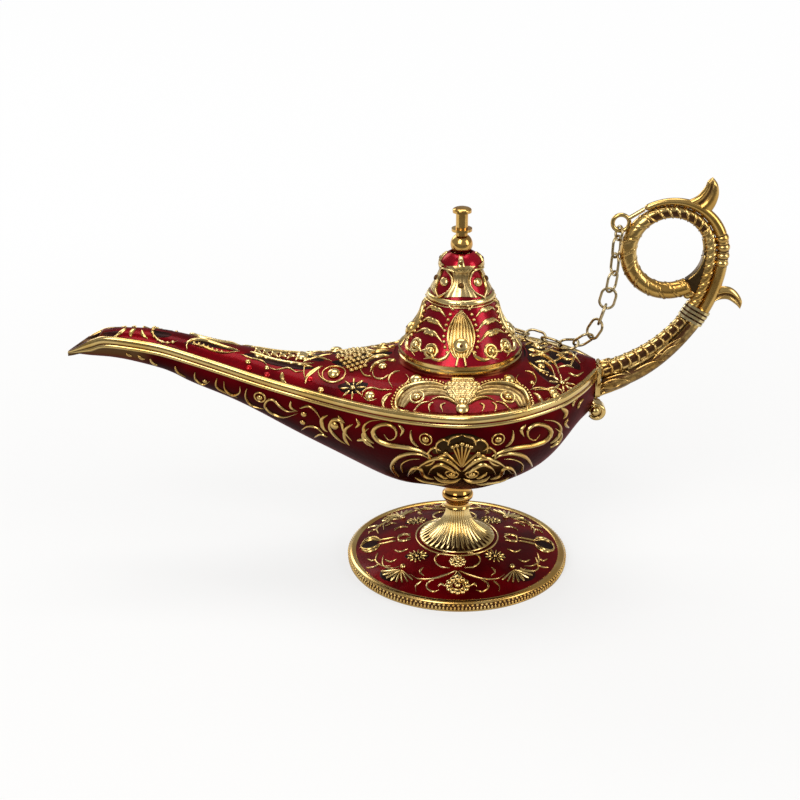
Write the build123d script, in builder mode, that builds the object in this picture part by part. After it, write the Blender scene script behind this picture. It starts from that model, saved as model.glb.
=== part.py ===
from build123d import *
import os
from math import atan2, cos, degrees, hypot, radians, sin

# Genie oil lamp, in millimetres. The origin is the centre of the foot's underside,
# +Z is up, the spout points along -X and the handle along +X.

os.makedirs("parts", exist_ok=True)

overrun = 1.0                   # how far a cut passes the face that it opens
seat_gap = 0.1                  # between the lid and what it rests on
fit_gap = 0.05                  # radial room of a screw or pin in its hole

# Foot: an enamelled disc on a beaded band, hollow beneath.
foot_radius = 35.4
foot_band_height = 2.8
foot_band_inset = 0.4
foot_band_width = 1.6
foot_dome_rise = 4.8
foot_dome_crown = 0.9
foot_wall = 2.2
foot_boss_radius = 6.0
foot_boss_drop = 1.0
pad_thickness = 1.0
pad_ledge = 2.0
pad_edge_gap = 0.2

# Stem: a fluted bell and a turned knop, drawn together by one screw.
bell_radius = 12.75
bell_lip = 0.8
bell_height = 11.4
bell_neck_radius = 3.6
bell_flare_share = 0.62
bell_flare_rise = 0.24
bell_neck_rise = 0.55
knop_height = 9.6
knop_ring_radius = 5.1
knop_ring_height = 2.6
knop_ring_rise = 4.1
knop_foot_radius = 4.3
knop_waist_radius = 3.7
knop_cup_radius = 4.6

# Screw, washer and nut of the stem.
tie_radius = 2.0
tie_head_radius = 3.5
tie_head_height = 2.2
tie_slot_width = 0.8
tie_slot_depth = 0.9
tie_point = 1.5
washer_radius = 4.5
washer_thickness = 0.8
tie_nut_flats = 7.0
tie_nut_height = 3.2

# Body: a bowl below and a deck above, which meet along the sheer line.
spout_reach = 122.3
stern_reach = 42.4
body_half_width = 36.3
bowl_depth = 34.9
spout_rise = 12.9
deck_rise = 11.5
bowl_seat_drop = 0.3
bowl_boss_radius = 6.5
bowl_boss_rise = 1.6
rail_width = 3.9
rail_taper_width = 4.0
rail_height = 2.1
lower_rail_height = 1.1
rail_overhang = 0.7
stern_wall = 1.9
trim = 4.0

# One row for each station between the spout's tip and the stern: place along the
# spout or the stern, half width, height of the sheer line above the bowl's middle,
# depth of the keel and rise of the deck's crest, each as a share of its own size.
spout_station_shares = [
    (1.000, 0.014, 0.667, 0.010, 0.400),
    (0.989, 0.032, 0.701, 0.018, 0.400),
    (0.965, 0.058, 0.779, 0.056, 0.400),
    (0.935, 0.091, 0.884, 0.106, 0.357),
    (0.899, 0.121, 1.000, 0.158, 0.300),
    (0.832, 0.154, 0.965, 0.185, 0.361),
    (0.756, 0.185, 0.860, 0.221, 0.409),
    (0.681, 0.220, 0.674, 0.284, 0.443),
    (0.605, 0.256, 0.465, 0.322, 0.465),
    (0.504, 0.320, 0.202, 0.407, 0.535),
    (0.402, 0.421, 0.016, 0.539, 0.591),
    (0.302, 0.567, -0.085, 0.679, 0.713),
    (0.202, 0.735, -0.109, 0.842, 0.815),
    (0.105, 0.898, -0.058, 0.938, 0.935),
]
middle_station_shares = (0.0, 1.0, 0.0, 1.0, 1.0)
stern_station_shares = [
    (0.252, 0.964, 0.031, 0.968, 0.895),
    (0.467, 0.854, 0.054, 0.882, 0.705),
    (0.691, 0.664, 0.085, 0.710, 0.560),
    (0.802, 0.534, 0.124, 0.560, 0.490),
    (0.908, 0.358, 0.163, 0.430, 0.410),
    (1.000, 0.135, 0.194, 0.266, 0.320),
]
round_share = 0.5523            # Bezier handle of a quarter ellipse
ledge_share = 0.6               # part of the rail's width that shows beside the deck
crown_wall_share = 0.4
keel_wall_share = 0.45
shoulder_share = 0.5            # where the deck leaves the rail, up the rail's height

# Mouth of the spout, cut on a slant from the crest down to the rails.
mouth_setback = 11.8            # from the spout's tip to the mouth's upper edge
mouth_rise = 3.5
mouth_slant = 4.1
mouth_drop = 4.6
mouth_lip = 0.3

# Round seat of the lid and the filler hole inside it.
seat_radius = 20.6
seat_rise = 8.2
seat_depth = 3.4
filler_radius = 16.0

# Lid: a gold ring with a skirt, an enamelled cone and a finial with its nut.
ring_radius = 19.25
ring_height = 2.9
ring_groove = 0.35
skirt_radius = 15.7
skirt_wall = 1.2
skirt_depth = 5.4
cone_foot_radius = 18.6
cone_height = 30.4
cone_wall = 1.3
cone_profile_shares = [
    (1.000, 0.000), (0.945, 0.046), (0.833, 0.158), (0.720, 0.266), (0.645, 0.375),
    (0.562, 0.513), (0.511, 0.589), (0.411, 0.694), (0.350, 0.790), (0.345, 0.832),
]
cone_cap_shares = [(0.345, 0.832), (0.352, 0.884), (0.312, 0.940), (0.190, 1.000)]
cone_solid_share = 0.13
finial_ball_radius = 3.4
finial_ball_sink = 1.1
finial_neck_radius = 1.85
finial_disc_radius = 3.15
finial_disc_height = 0.8
finial_disc_rise = 7.6
finial_cap_radius = 2.9
finial_cap_rise = 13.4
finial_cap_rim = 0.7
finial_cap_height = 1.7
finial_stud_radius = 1.5
finial_stud_length = 6.6
finial_nut_flats = 5.5
finial_nut_height = 2.4

# Handle: two strands on a root plate, an inner one that curls into a ring and an
# outer one behind it. Each bend is a radius and the angle that it turns through.
root_width = 8.4
root_height = 10.4
root_thickness = 1.5
root_rise = 2.3
root_corner = 1.8
strand_sink = 1.0
strand_drop = 0.7
arm_angle = 14.6
arm_bends = [(59.4, 12.4), (42.2, 28.8), (37.8, 34.2)]
curl_radius = 12.5
curl_turn = 300.0
strand_gap = 0.05
inner_root_radius = 2.5
inner_neck_radius = 1.85
inner_curl_radius = 2.6
inner_swell_start = 60.0
inner_swell_end = 200.0
outer_root_radius = 2.6
outer_neck_radius = 1.9
outer_tip_radius = 1.0
outer_curl_turn = 122.0
neck_heading = 56.0
step_heading = 11.0
binding_heading = 59.7
binding_count = 4
binding_pitch = 1.35
binding_width = 0.8
binding_proud = 0.45
leaf_thickness = 2.6
leaf_length = 8.8
leaf_width = 6.6
leaf_sink = 1.6
top_leaf_heading = 151.0
side_leaf_heading = 71.0
leaf_front_shares = [(0.50, 0.0), (0.27, 0.38), (0.18, 1.0)]
leaf_nose_shares = [(0.18, 1.0), (-0.02, 1.02), (-0.22, 0.88)]
leaf_back_shares = [(-0.22, 0.88), (-0.46, 0.50), (-0.50, 0.0)]
bead_radius = 1.4
bead_sink = 0.1
bead_heading = 66.5
web_thickness = 2.4
web_inner_radius = 10.3
web_start_angle = -58.0
web_back_points = [(15.4, -58.0), (13.2, -30.0), (12.4, 0.0)]

# Scroll under the handle's root and the screw that holds the handle.
scroll_radius = 2.9
scroll_width = 4.6
scroll_edge = 0.8
scroll_drop = 4.3
scroll_reach = 1.1
scroll_neck_radius = 1.4
scroll_neck_length = 6.0
scroll_neck_angle = 125.0
screw_radius = 1.2
screw_head_radius = 2.0
screw_head_height = 1.2
screw_length = 6.0
screw_height_share = 0.45

# Eyes and chain. Tilts are the links' angles from the level in the chain's upright
# plane, and rolls their turn about the chain's line, from the handle to the lid.
eye_radius = 2.5
eye_wire = 0.65
eye_rod_radius = 0.65
eye_rod_length = 5.6
lid_eye_radius = 1.75
lid_eye_wire = 0.45
lid_eye_gap = 0.6
lid_eye_pin_length = 2.0
lid_eye_pin_radius = 0.55
lid_eye_drop = 0.8
lid_eye_angle = 42.0
link_length = 7.6
link_width = 5.4
link_wire = 0.425
jump_radius = 2.1
jump_wire = 0.42
link_play = 0.2
jump_tilt = -73.0
hanging_tilts = [-88, -86, -82, -76, -73, -60, -40]
lying_tilts = [-13, 4, 4, 4]
jump_roll = 47.0
link_rolls = [100, 44, 108, -13, 80, 23, -50, -111, -47, 58, 105]

# Heights of the stack, from the table up.
dome_top = foot_band_height + foot_dome_rise
bell_top = dome_top + bell_height
knop_top = bell_top + knop_height
keel_z = knop_top + bowl_seat_drop
rim_z = keel_z + bowl_depth
seat_z = rim_z + seat_rise
ring_z = seat_z + seat_gap
cone_z = ring_z + ring_height
cone_top = cone_z + cone_height
finial_z = cone_top - finial_ball_sink


def station(reach, shares):
    """Place, half width, sheer, keel and crest heights of one station."""
    along, width, sheer, depth, crown = shares
    sheer_z = rim_z + sheer * spout_rise
    return (along * reach, width * body_half_width, sheer_z,
            sheer_z - depth * bowl_depth, sheer_z + crown * deck_rise)


stations = [station(-spout_reach, row) for row in spout_station_shares]
stations.append(station(stern_reach, middle_station_shares))
stations += [station(stern_reach, row) for row in stern_station_shares]
tip_z = stations[0][2]
stern_sheer = stations[-1][2]
stern_keel = stations[-1][3]


def inset(half):
    """Rail and wall together, narrower where the spout is slim."""
    return rail_width * half / (half + rail_taper_width)


def bowl_section(x, half, sheer, keel):
    """Half ellipse below the sheer line with straight sides above it."""
    drop = (sheer - keel) * round_share
    reach = half * round_share
    with BuildSketch(Plane.YZ.offset(x)) as section:
        with BuildLine():
            Bezier((-half, sheer), (-half, sheer - drop), (-reach, keel), (0, keel))
            Bezier((0, keel), (reach, keel), (half, sheer - drop), (half, sheer))
            Polyline((half, sheer), (half, sheer + trim), (-half, sheer + trim), (-half, sheer))
        make_face()
    return section.sketch


def deck_section(x, half, sheer, crest, depth):
    """Low arch above the rail with straight sides down past the sheer line."""
    shoulder = sheer + rail_height * shoulder_share
    with BuildSketch(Plane.YZ.offset(x)) as section:
        with BuildLine():
            ThreePointArc((half, shoulder), (0, crest), (-half, shoulder))
            Polyline((-half, shoulder), (-half, sheer - depth), (half, sheer - depth), (half, shoulder))
        make_face()
    return section.sketch


def sheer_face(low, high):
    """Side view of the band from low to high about the sheer line."""
    with BuildSketch(Plane.XZ) as face:
        with BuildLine():
            lower = Spline(*[(x, sheer + low) for x, half, sheer, keel, crest in stations])
            upper = Spline(*[(x, sheer + high) for x, half, sheer, keel, crest in stations])
            Line(lower @ 0, upper @ 0)
            Line(lower @ 1, upper @ 1)
        make_face()
    return face.sketch


def plan_prism():
    """Upright prism on the body's outline seen from above."""
    with BuildPart() as prism:
        with BuildSketch():
            with BuildLine():
                side = Spline(*[(x, half) for x, half, sheer, keel, crest in stations])
                Line(side @ 0, (-spout_reach, 0))
                Line(side @ 1, (stern_reach, 0))
                mirror(about=Plane.XZ)
            make_face()
        extrude(amount=rim_z + bowl_depth)
    return prism.part


def rail_band(low, high):
    """Part of the outline's prism that lies in a band about the sheer line."""
    with BuildPart() as band:
        add(plan_prism())
        extrude(sheer_face(low, high), amount=body_half_width + overrun, both=True, mode=Mode.INTERSECT)
    return band.part


def hexagon(flats):
    """Outline of a nut, given the size across its flats."""
    return RegularPolygon(flats / 2, 6, major_radius=False)


# Foot and its pad.
dome_foot_radius = foot_radius - foot_band_width
dome_sag = foot_dome_crown / 2
with BuildPart() as foot:
    with BuildSketch(Plane.XZ):
        with BuildLine():
            Polyline((0, dome_top), (bell_radius, dome_top))
            ThreePointArc(
                (bell_radius, dome_top),
                ((bell_radius + dome_foot_radius) / 2, foot_band_height + foot_dome_rise / 2 + dome_sag),
                (dome_foot_radius, foot_band_height))
            Polyline(
                (dome_foot_radius, foot_band_height),
                (foot_radius - foot_band_inset, foot_band_height),
                (foot_radius, foot_band_height - foot_band_inset),
                (foot_radius, foot_band_inset),
                (foot_radius - foot_band_inset, 0),
                (0, 0),
                (0, dome_top))
        make_face()
    revolve(axis=Axis.Z)
    with BuildSketch(Plane.XZ):
        with BuildLine():
            Polyline((0, dome_top - foot_wall), (bell_radius, dome_top - foot_wall))
            ThreePointArc(
                (bell_radius, dome_top - foot_wall),
                ((bell_radius + dome_foot_radius) / 2,
                 foot_band_height + foot_dome_rise / 2 + dome_sag - foot_wall),
                (dome_foot_radius - pad_ledge, foot_band_height - foot_wall + foot_band_inset))
            Polyline(
                (dome_foot_radius - pad_ledge, foot_band_height - foot_wall + foot_band_inset),
                (dome_foot_radius - pad_ledge, -overrun),
                (0, -overrun),
                (0, dome_top - foot_wall))
        make_face()
    revolve(axis=Axis.Z, mode=Mode.SUBTRACT)
    with BuildSketch():
        Circle(dome_foot_radius)
    extrude(amount=pad_thickness, mode=Mode.SUBTRACT)
    with BuildSketch(Plane.XY.offset(dome_top - foot_wall - foot_boss_drop)):
        Circle(foot_boss_radius)
    extrude(amount=foot_boss_drop + foot_wall)
    with BuildSketch():
        Circle(tie_radius + fit_gap)
    extrude(amount=dome_top + overrun, mode=Mode.SUBTRACT)
foot.part.label = "foot_plate"
export_step(foot.part, "parts/foot_plate.step")

with BuildPart() as pad:
    with BuildSketch():
        Circle(dome_foot_radius - pad_edge_gap)
    extrude(amount=pad_thickness)
pad.part.label = "foot_pad"
export_step(pad.part, "parts/foot_pad.step")

# Bell: a flared skirt under a slim neck.
with BuildPart() as bell:
    with BuildSketch(Plane.XZ):
        with BuildLine():
            Polyline((0, dome_top), (bell_radius, dome_top), (bell_radius, dome_top + bell_lip))
            Bezier(
                (bell_radius, dome_top + bell_lip),
                (bell_radius * bell_flare_share, dome_top + bell_height * bell_flare_rise),
                (bell_neck_radius, dome_top + bell_height * bell_neck_rise),
                (bell_neck_radius, bell_top))
            Polyline((bell_neck_radius, bell_top), (0, bell_top), (0, dome_top))
        make_face()
    revolve(axis=Axis.Z)
    with BuildSketch(Plane.XY.offset(dome_top)):
        Circle(tie_radius + fit_gap)
    extrude(amount=bell_height + overrun, mode=Mode.SUBTRACT)
bell.part.label = "stem_bell"
export_step(bell.part, "parts/stem_bell.step")

# Knop: foot, waist, ring, waist and the cup under the bowl.
knop_ring_z = bell_top + knop_ring_rise
with BuildPart() as knop:
    with BuildSketch(Plane.XZ):
        with BuildLine():
            Polyline((0, bell_top), (knop_foot_radius, bell_top))
            ThreePointArc(
                (knop_foot_radius, bell_top),
                (knop_waist_radius, (bell_top + knop_ring_z - knop_ring_height / 2) / 2),
                (knop_foot_radius, knop_ring_z - knop_ring_height / 2))
            ThreePointArc(
                (knop_foot_radius, knop_ring_z - knop_ring_height / 2),
                (knop_ring_radius, knop_ring_z),
                (knop_foot_radius, knop_ring_z + knop_ring_height / 2))
            ThreePointArc(
                (knop_foot_radius, knop_ring_z + knop_ring_height / 2),
                (knop_waist_radius, (knop_top + knop_ring_z + knop_ring_height / 2) / 2),
                (knop_cup_radius, knop_top))
            Polyline((knop_cup_radius, knop_top), (0, knop_top), (0, bell_top))
        make_face()
    revolve(axis=Axis.Z)
    with BuildSketch(Plane.XY.offset(bell_top)):
        Circle(tie_radius + fit_gap)
    extrude(amount=knop_height + overrun, mode=Mode.SUBTRACT)
knop.part.label = "stem_knop"
export_step(knop.part, "parts/stem_knop.step")

# Bowl: the hull below the sheer line, with its slim rail.
hull_sections = []
hollow_sections = []
for x, half, sheer, keel, crest in stations:
    overhang = rail_overhang * half / (half + rail_taper_width)
    hull_sections.append(bowl_section(x, half - overhang, sheer, keel))
    hollow_sections.append(bowl_section(x, half - inset(half), sheer, keel + inset(half) * keel_wall_share))
bowl_floor = keel_z + inset(body_half_width) * keel_wall_share
screw_z = stern_keel + (stern_sheer - stern_keel) * screw_height_share
with BuildPart() as bowl_hollow:
    loft(hollow_sections[1:])
    split(bisect_by=Plane.YZ.offset(stern_reach - stern_wall), keep=Keep.BOTTOM)
with BuildPart() as bowl:
    loft(hull_sections)
    add(rail_band(-lower_rail_height, trim))
    add(bowl_hollow.part, mode=Mode.SUBTRACT)
    extrude(sheer_face(-rim_z, 0), amount=body_half_width + overrun, both=True, mode=Mode.INTERSECT)
    with BuildSketch(Plane.XY.offset(knop_top)):
        Circle(knop_cup_radius)
    extrude(amount=bowl_seat_drop + bowl_boss_rise)
    with BuildSketch(Plane.XY.offset(bowl_floor)):
        Circle(bowl_boss_radius)
    extrude(amount=bowl_boss_rise)
    with BuildSketch(Plane.XY.offset(knop_top - overrun)):
        Circle(tie_radius + fit_gap)
    extrude(amount=bowl_depth / 2, mode=Mode.SUBTRACT)
    with BuildSketch(Plane.YZ.offset(stern_reach - stern_wall - overrun)):
        with Locations((0, screw_z)):
            Circle(screw_radius + fit_gap)
    extrude(amount=stern_wall + overrun + overrun, mode=Mode.SUBTRACT)
bowl.part.label = "bowl"
export_step(bowl.part, "parts/bowl.step")

# Deck: the crowned cover above the sheer line, with the main rail, the spout's roof
# and the round seat of the lid.
cover_sections = []
duct_sections = []
for x, half, sheer, keel, crest in stations[1:]:
    cover_sections.append(deck_section(x, half - inset(half) * ledge_share, sheer, crest, trim))
    duct_sections.append(
        deck_section(x, half - inset(half), sheer, crest - inset(half) * crown_wall_share, trim + overrun))
with BuildPart() as duct:
    loft(duct_sections)
    split(bisect_by=Plane.YZ.offset(stern_reach - stern_wall), keep=Keep.BOTTOM)
mouth_reach = spout_reach - mouth_setback
mouth_z = rim_z + spout_rise + mouth_rise
with BuildPart() as deck:
    loft(cover_sections[2:])
    with BuildSketch(Plane.XZ):
        with BuildLine():
            Polyline(
                (-mouth_reach, mouth_z),
                (-mouth_reach - mouth_slant, mouth_z - mouth_drop),
                (-spout_reach, mouth_z - mouth_drop),
                (-spout_reach, mouth_z + mouth_drop),
                (-mouth_reach + mouth_slant, mouth_z + mouth_drop),
                (-mouth_reach, mouth_z))
        make_face()
    extrude(amount=body_half_width, both=True, mode=Mode.SUBTRACT)
    add(rail_band(-trim, rail_height))
    with BuildSketch(Plane.XZ):
        with BuildLine():
            Polyline(
                (-mouth_reach, mouth_z),
                (-spout_reach, tip_z + mouth_lip),
                (-spout_reach - overrun, tip_z + mouth_lip),
                (-spout_reach - overrun, mouth_z),
                (-mouth_reach, mouth_z))
        make_face()
    extrude(amount=body_half_width, both=True, mode=Mode.SUBTRACT)
    add(duct.part, mode=Mode.SUBTRACT)
    with BuildSketch(Plane.XY.offset(seat_z - seat_depth)):
        Circle(seat_radius)
    extrude(amount=seat_depth)
    with BuildSketch(Plane.XY.offset(seat_z)):
        Circle(seat_radius)
    extrude(amount=deck_rise, mode=Mode.SUBTRACT)
    with BuildSketch(Plane.XY.offset(seat_z - seat_depth - overrun)):
        Circle(filler_radius)
    extrude(amount=seat_depth + deck_rise, mode=Mode.SUBTRACT)
    extrude(sheer_face(0, deck_rise + deck_rise), amount=body_half_width + overrun, both=True, mode=Mode.INTERSECT)
deck.part.label = "deck"
export_step(deck.part, "parts/deck.step")

# Screw, washer and nut that draw foot, stem and bowl together.
head_z = dome_top - foot_wall - foot_boss_drop - washer_thickness
tie_nut_z = bowl_floor + bowl_boss_rise
with BuildPart() as tie_washer:
    with BuildSketch(Plane.XY.offset(head_z)):
        Circle(washer_radius)
        Circle(tie_radius + fit_gap, mode=Mode.SUBTRACT)
    extrude(amount=washer_thickness)
tie_washer.part.label = "tie_washer"
export_step(tie_washer.part, "parts/tie_washer.step")

with BuildPart() as tie_screw:
    with BuildSketch(Plane.XY.offset(head_z - tie_head_height)):
        Circle(tie_head_radius)
    extrude(amount=tie_head_height)
    with BuildSketch(Plane.XY.offset(head_z)):
        Circle(tie_radius)
    extrude(amount=tie_nut_z + tie_nut_height + tie_point - head_z)
    with BuildSketch(Plane.XY.offset(head_z - tie_head_height)):
        Rectangle(tie_head_radius * 2 + overrun, tie_slot_width)
    extrude(amount=tie_slot_depth, mode=Mode.SUBTRACT)
tie_screw.part.label = "tie_screw"
export_step(tie_screw.part, "parts/tie_screw.step")

with BuildPart() as tie_nut:
    with BuildSketch(Plane.XY.offset(tie_nut_z)):
        hexagon(tie_nut_flats)
        Circle(tie_radius + fit_gap, mode=Mode.SUBTRACT)
    extrude(amount=tie_nut_height)
tie_nut.part.label = "tie_nut"
export_step(tie_nut.part, "parts/tie_nut.step")

# Lid ring: the gold rim that rests on the deck, with the skirt that drops inside it.
lid_eye_centre = ring_radius + lid_eye_gap + lid_eye_radius
lid_eye_z = cone_z - lid_eye_drop
eye_way = Vector(cos(radians(lid_eye_angle)), sin(radians(lid_eye_angle)), 0)
with BuildPart() as lid_ring:
    with BuildSketch(Plane.XZ):
        with BuildLine():
            Polyline(
                (skirt_radius - skirt_wall, cone_z),
                (skirt_radius - skirt_wall, ring_z - skirt_depth),
                (skirt_radius, ring_z - skirt_depth),
                (skirt_radius, ring_z),
                (ring_radius, ring_z),
                (ring_radius, ring_z + ring_height / 2 - ring_groove),
                (ring_radius - ring_groove, ring_z + ring_height / 2),
                (ring_radius, ring_z + ring_height / 2 + ring_groove),
                (ring_radius, cone_z),
                (skirt_radius - skirt_wall, cone_z))
        make_face()
    revolve(axis=Axis.Z)
    with BuildSketch(Plane(origin=eye_way * (ring_radius + overrun) + Vector(0, 0, lid_eye_z), z_dir=eye_way)):
        Circle(lid_eye_pin_radius + fit_gap)
    extrude(amount=-lid_eye_pin_length - overrun, mode=Mode.SUBTRACT)
lid_ring.part.label = "lid_ring"
export_step(lid_ring.part, "parts/lid_ring.step")

# Cone: thin below, with a solid cap that takes the finial's stud.
cone_points = [(radius * cone_foot_radius, cone_z + rise * cone_height) for radius, rise in cone_profile_shares]
cap_points = [(radius * cone_foot_radius, cone_z + rise * cone_height) for radius, rise in cone_cap_shares]
cone_ceiling = cone_top - cone_solid_share * cone_height
hollow_points = [(radius - cone_wall, z) for radius, z in cone_points]
with BuildPart() as lid_cone:
    with BuildSketch(Plane.XZ):
        with BuildLine():
            Spline(*cone_points)
            Spline(*cap_points)
            Polyline(cap_points[-1], (0, cone_top), (0, cone_z), cone_points[0])
        make_face()
    revolve(axis=Axis.Z)
    with BuildSketch(Plane.XZ):
        with BuildLine():
            Spline(*hollow_points)
            Polyline(
                hollow_points[-1],
                (hollow_points[-1][0], cone_ceiling),
                (0, cone_ceiling),
                (0, cone_z - overrun),
                (hollow_points[0][0], cone_z - overrun),
                hollow_points[0])
        make_face()
    revolve(axis=Axis.Z, mode=Mode.SUBTRACT)
    with BuildSketch(Plane.XY.offset(cone_z)):
        Circle(finial_stud_radius + fit_gap)
    extrude(amount=cone_height + overrun, mode=Mode.SUBTRACT)
    with BuildSketch(Plane.XY.offset(finial_z)):
        Circle(finial_ball_radius + fit_gap)
    extrude(amount=finial_ball_sink + overrun, mode=Mode.SUBTRACT)
lid_cone.part.label = "lid_cone"
export_step(lid_cone.part, "parts/lid_cone.step")

# Finial: stud, ball, neck with a disc, and a domed cap.
cap_z = finial_z + finial_cap_rise
cap_top = cap_z + finial_cap_height
cap_crown = finial_cap_height - finial_cap_rim
disc_z = finial_z + finial_disc_rise
ball_z = finial_z + finial_ball_radius
ball_foot = (finial_ball_radius ** 2 - finial_stud_radius ** 2) ** 0.5
ball_head = (finial_ball_radius ** 2 - finial_neck_radius ** 2) ** 0.5
with BuildPart() as finial:
    with BuildSketch(Plane.XZ):
        with BuildLine():
            Polyline(
                (0, finial_z - finial_stud_length),
                (finial_stud_radius, finial_z - finial_stud_length),
                (finial_stud_radius, ball_z - ball_foot))
            ThreePointArc(
                (finial_stud_radius, ball_z - ball_foot),
                (finial_ball_radius, ball_z),
                (finial_neck_radius, ball_z + ball_head))
            Polyline(
                (finial_neck_radius, ball_z + ball_head),
                (finial_neck_radius, disc_z),
                (finial_disc_radius, disc_z),
                (finial_disc_radius, disc_z + finial_disc_height),
                (finial_neck_radius, disc_z + finial_disc_height),
                (finial_neck_radius, cap_z),
                (finial_cap_radius, cap_z),
                (finial_cap_radius, cap_z + finial_cap_rim))
            Bezier(
                (finial_cap_radius, cap_z + finial_cap_rim),
                (finial_cap_radius, cap_z + finial_cap_rim + cap_crown * round_share),
                (finial_cap_radius * round_share, cap_top),
                (0, cap_top))
            Line((0, cap_top), (0, finial_z - finial_stud_length))
        make_face()
    revolve(axis=Axis.Z)
finial.part.label = "finial"
export_step(finial.part, "parts/finial.step")

with BuildPart() as finial_nut:
    with BuildSketch(Plane.XY.offset(cone_ceiling - finial_nut_height)):
        hexagon(finial_nut_flats)
        Circle(finial_stud_radius + fit_gap, mode=Mode.SUBTRACT)
    extrude(amount=finial_nut_height)
finial_nut.part.label = "finial_nut"
export_step(finial_nut.part, "parts/finial_nut.step")

# Eye of the lid: a wire loop on a pin that sits in the ring's edge.
with BuildPart() as lid_eye:
    with Locations(Plane(
            origin=eye_way * lid_eye_centre + Vector(0, 0, lid_eye_z),
            x_dir=eye_way, z_dir=eye_way.rotate(Axis.Z, 90))):
        Torus(lid_eye_radius, lid_eye_wire)
    with BuildSketch(Plane(
            origin=eye_way * (ring_radius - lid_eye_pin_length + fit_gap) + Vector(0, 0, lid_eye_z),
            z_dir=eye_way)):
        Circle(lid_eye_pin_radius)
    extrude(amount=lid_eye_pin_length + lid_eye_gap)
lid_eye.part.label = "lid_eye"
export_step(lid_eye.part, "parts/lid_eye.step")


def stop_at(heading):
    """Place on the handle's course, in X and Z, where it has turned to a heading."""
    x, z, start = stern_reach - strand_sink, stern_sheer - strand_drop, arm_angle
    for radius, turn in arm_bends + [(curl_radius, curl_turn)]:
        end = min(heading, start + turn)
        x += radius * (sin(radians(end)) - sin(radians(start)))
        z += radius * (cos(radians(start)) - cos(radians(end)))
        start = end
    return x, z


def beside(heading, offset):
    """Point at an offset to the right of the course."""
    x, z = stop_at(heading)
    return (x + offset * sin(radians(heading)), 0, z - offset * cos(radians(heading)))


def across(heading, offset):
    """Plane square to the course, with its origin beside it."""
    way = (cos(radians(heading)), 0, sin(radians(heading)))
    return Plane(origin=beside(heading, offset), x_dir=(0, 1, 0), z_dir=way)


def blend(low, high, share):
    """Ease from one size to another as share goes from 0 to 1."""
    held = min(1, max(0, share))
    return low + (high - low) * held * held * (3 - 2 * held)


curl_heading = arm_angle + sum(turn for radius, turn in arm_bends)
end_heading = curl_heading + curl_turn
tip_heading = curl_heading + outer_curl_turn


def inner_radius(heading):
    """Radius of the inner strand."""
    if heading < curl_heading:
        return blend(inner_root_radius, inner_neck_radius, (heading - arm_angle) / (neck_heading - arm_angle))
    turned = heading - curl_heading - inner_swell_start
    return blend(inner_neck_radius, inner_curl_radius, turned / (inner_swell_end - inner_swell_start))


def outer_radius(heading):
    """Radius of the outer strand."""
    if heading < curl_heading:
        return blend(outer_root_radius, outer_neck_radius, (heading - arm_angle) / (neck_heading - arm_angle))
    return blend(outer_neck_radius, outer_tip_radius, (heading - curl_heading) / outer_curl_turn)


def strand_offset(heading):
    """Distance between the two strands' middles."""
    return inner_radius(heading) + outer_radius(heading) + strand_gap


def headings_to(last):
    """Even steps of heading from the root to the last one."""
    count = round((last - arm_angle) / step_heading)
    return [arm_angle + (last - arm_angle) * step / count for step in range(count + 1)]


# Handle's strands: each is a row of circles square to the course.
root_face = Plane.YZ.offset(stern_reach + root_thickness)
inner_sections = []
for heading in headings_to(end_heading):
    with BuildSketch(across(heading, 0)) as inner_section:
        Circle(inner_radius(heading))
    inner_sections.append(inner_section.sketch)
with BuildPart() as handle_inner:
    loft(inner_sections)
    split(bisect_by=root_face, keep=Keep.TOP)
handle_inner.part.label = "handle_inner_strand"
export_step(handle_inner.part, "parts/handle_inner_strand.step")

outer_sections = []
for heading in headings_to(tip_heading):
    with BuildSketch(across(heading, strand_offset(heading))) as outer_section:
        Circle(outer_radius(heading))
    outer_sections.append(outer_section.sketch)
with BuildPart() as handle_outer:
    loft(outer_sections)
    split(bisect_by=root_face, keep=Keep.TOP)
    with BuildSketch(Plane.YZ.offset(stern_reach + root_thickness - overrun)):
        with Locations((0, screw_z)):
            Circle(screw_radius + fit_gap)
    extrude(amount=screw_length - stern_wall - root_thickness + overrun, mode=Mode.SUBTRACT)
handle_outer.part.label = "handle_outer_strand"
export_step(handle_outer.part, "parts/handle_outer_strand.step")

# Web: the thin crescent that closes the curl against the arm.
curl_x, curl_z = stop_at(curl_heading)
with BuildPart() as web:
    with BuildSketch(Plane(origin=(curl_x - curl_radius, 0, curl_z), x_dir=(1, 0, 0), z_dir=(0, -1, 0))):
        with BuildLine():
            inner_arc = CenterArc((0, 0), web_inner_radius, web_start_angle, -web_start_angle)
            outer_arc = ThreePointArc(*[
                (radius * cos(radians(angle)), radius * sin(radians(angle))) for radius, angle in web_back_points])
            Line(inner_arc @ 0, outer_arc @ 0)
            Line(inner_arc @ 1, outer_arc @ 1)
        make_face()
    extrude(amount=web_thickness / 2, both=True)
    add(handle_inner.part, mode=Mode.SUBTRACT)
web.part.label = "handle_web"
export_step(web.part, "parts/handle_web.step")

# Root plate between the stern and the strands, with its screw.
with BuildPart() as handle_root:
    with BuildSketch(Plane.YZ.offset(stern_reach)):
        with Locations((0, stern_sheer + root_rise - root_height / 2)):
            RectangleRounded(root_width, root_height, root_corner)
        with Locations((0, screw_z)):
            Circle(screw_radius + fit_gap, mode=Mode.SUBTRACT)
    extrude(amount=root_thickness)
handle_root.part.label = "handle_root"
export_step(handle_root.part, "parts/handle_root.step")

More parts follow.
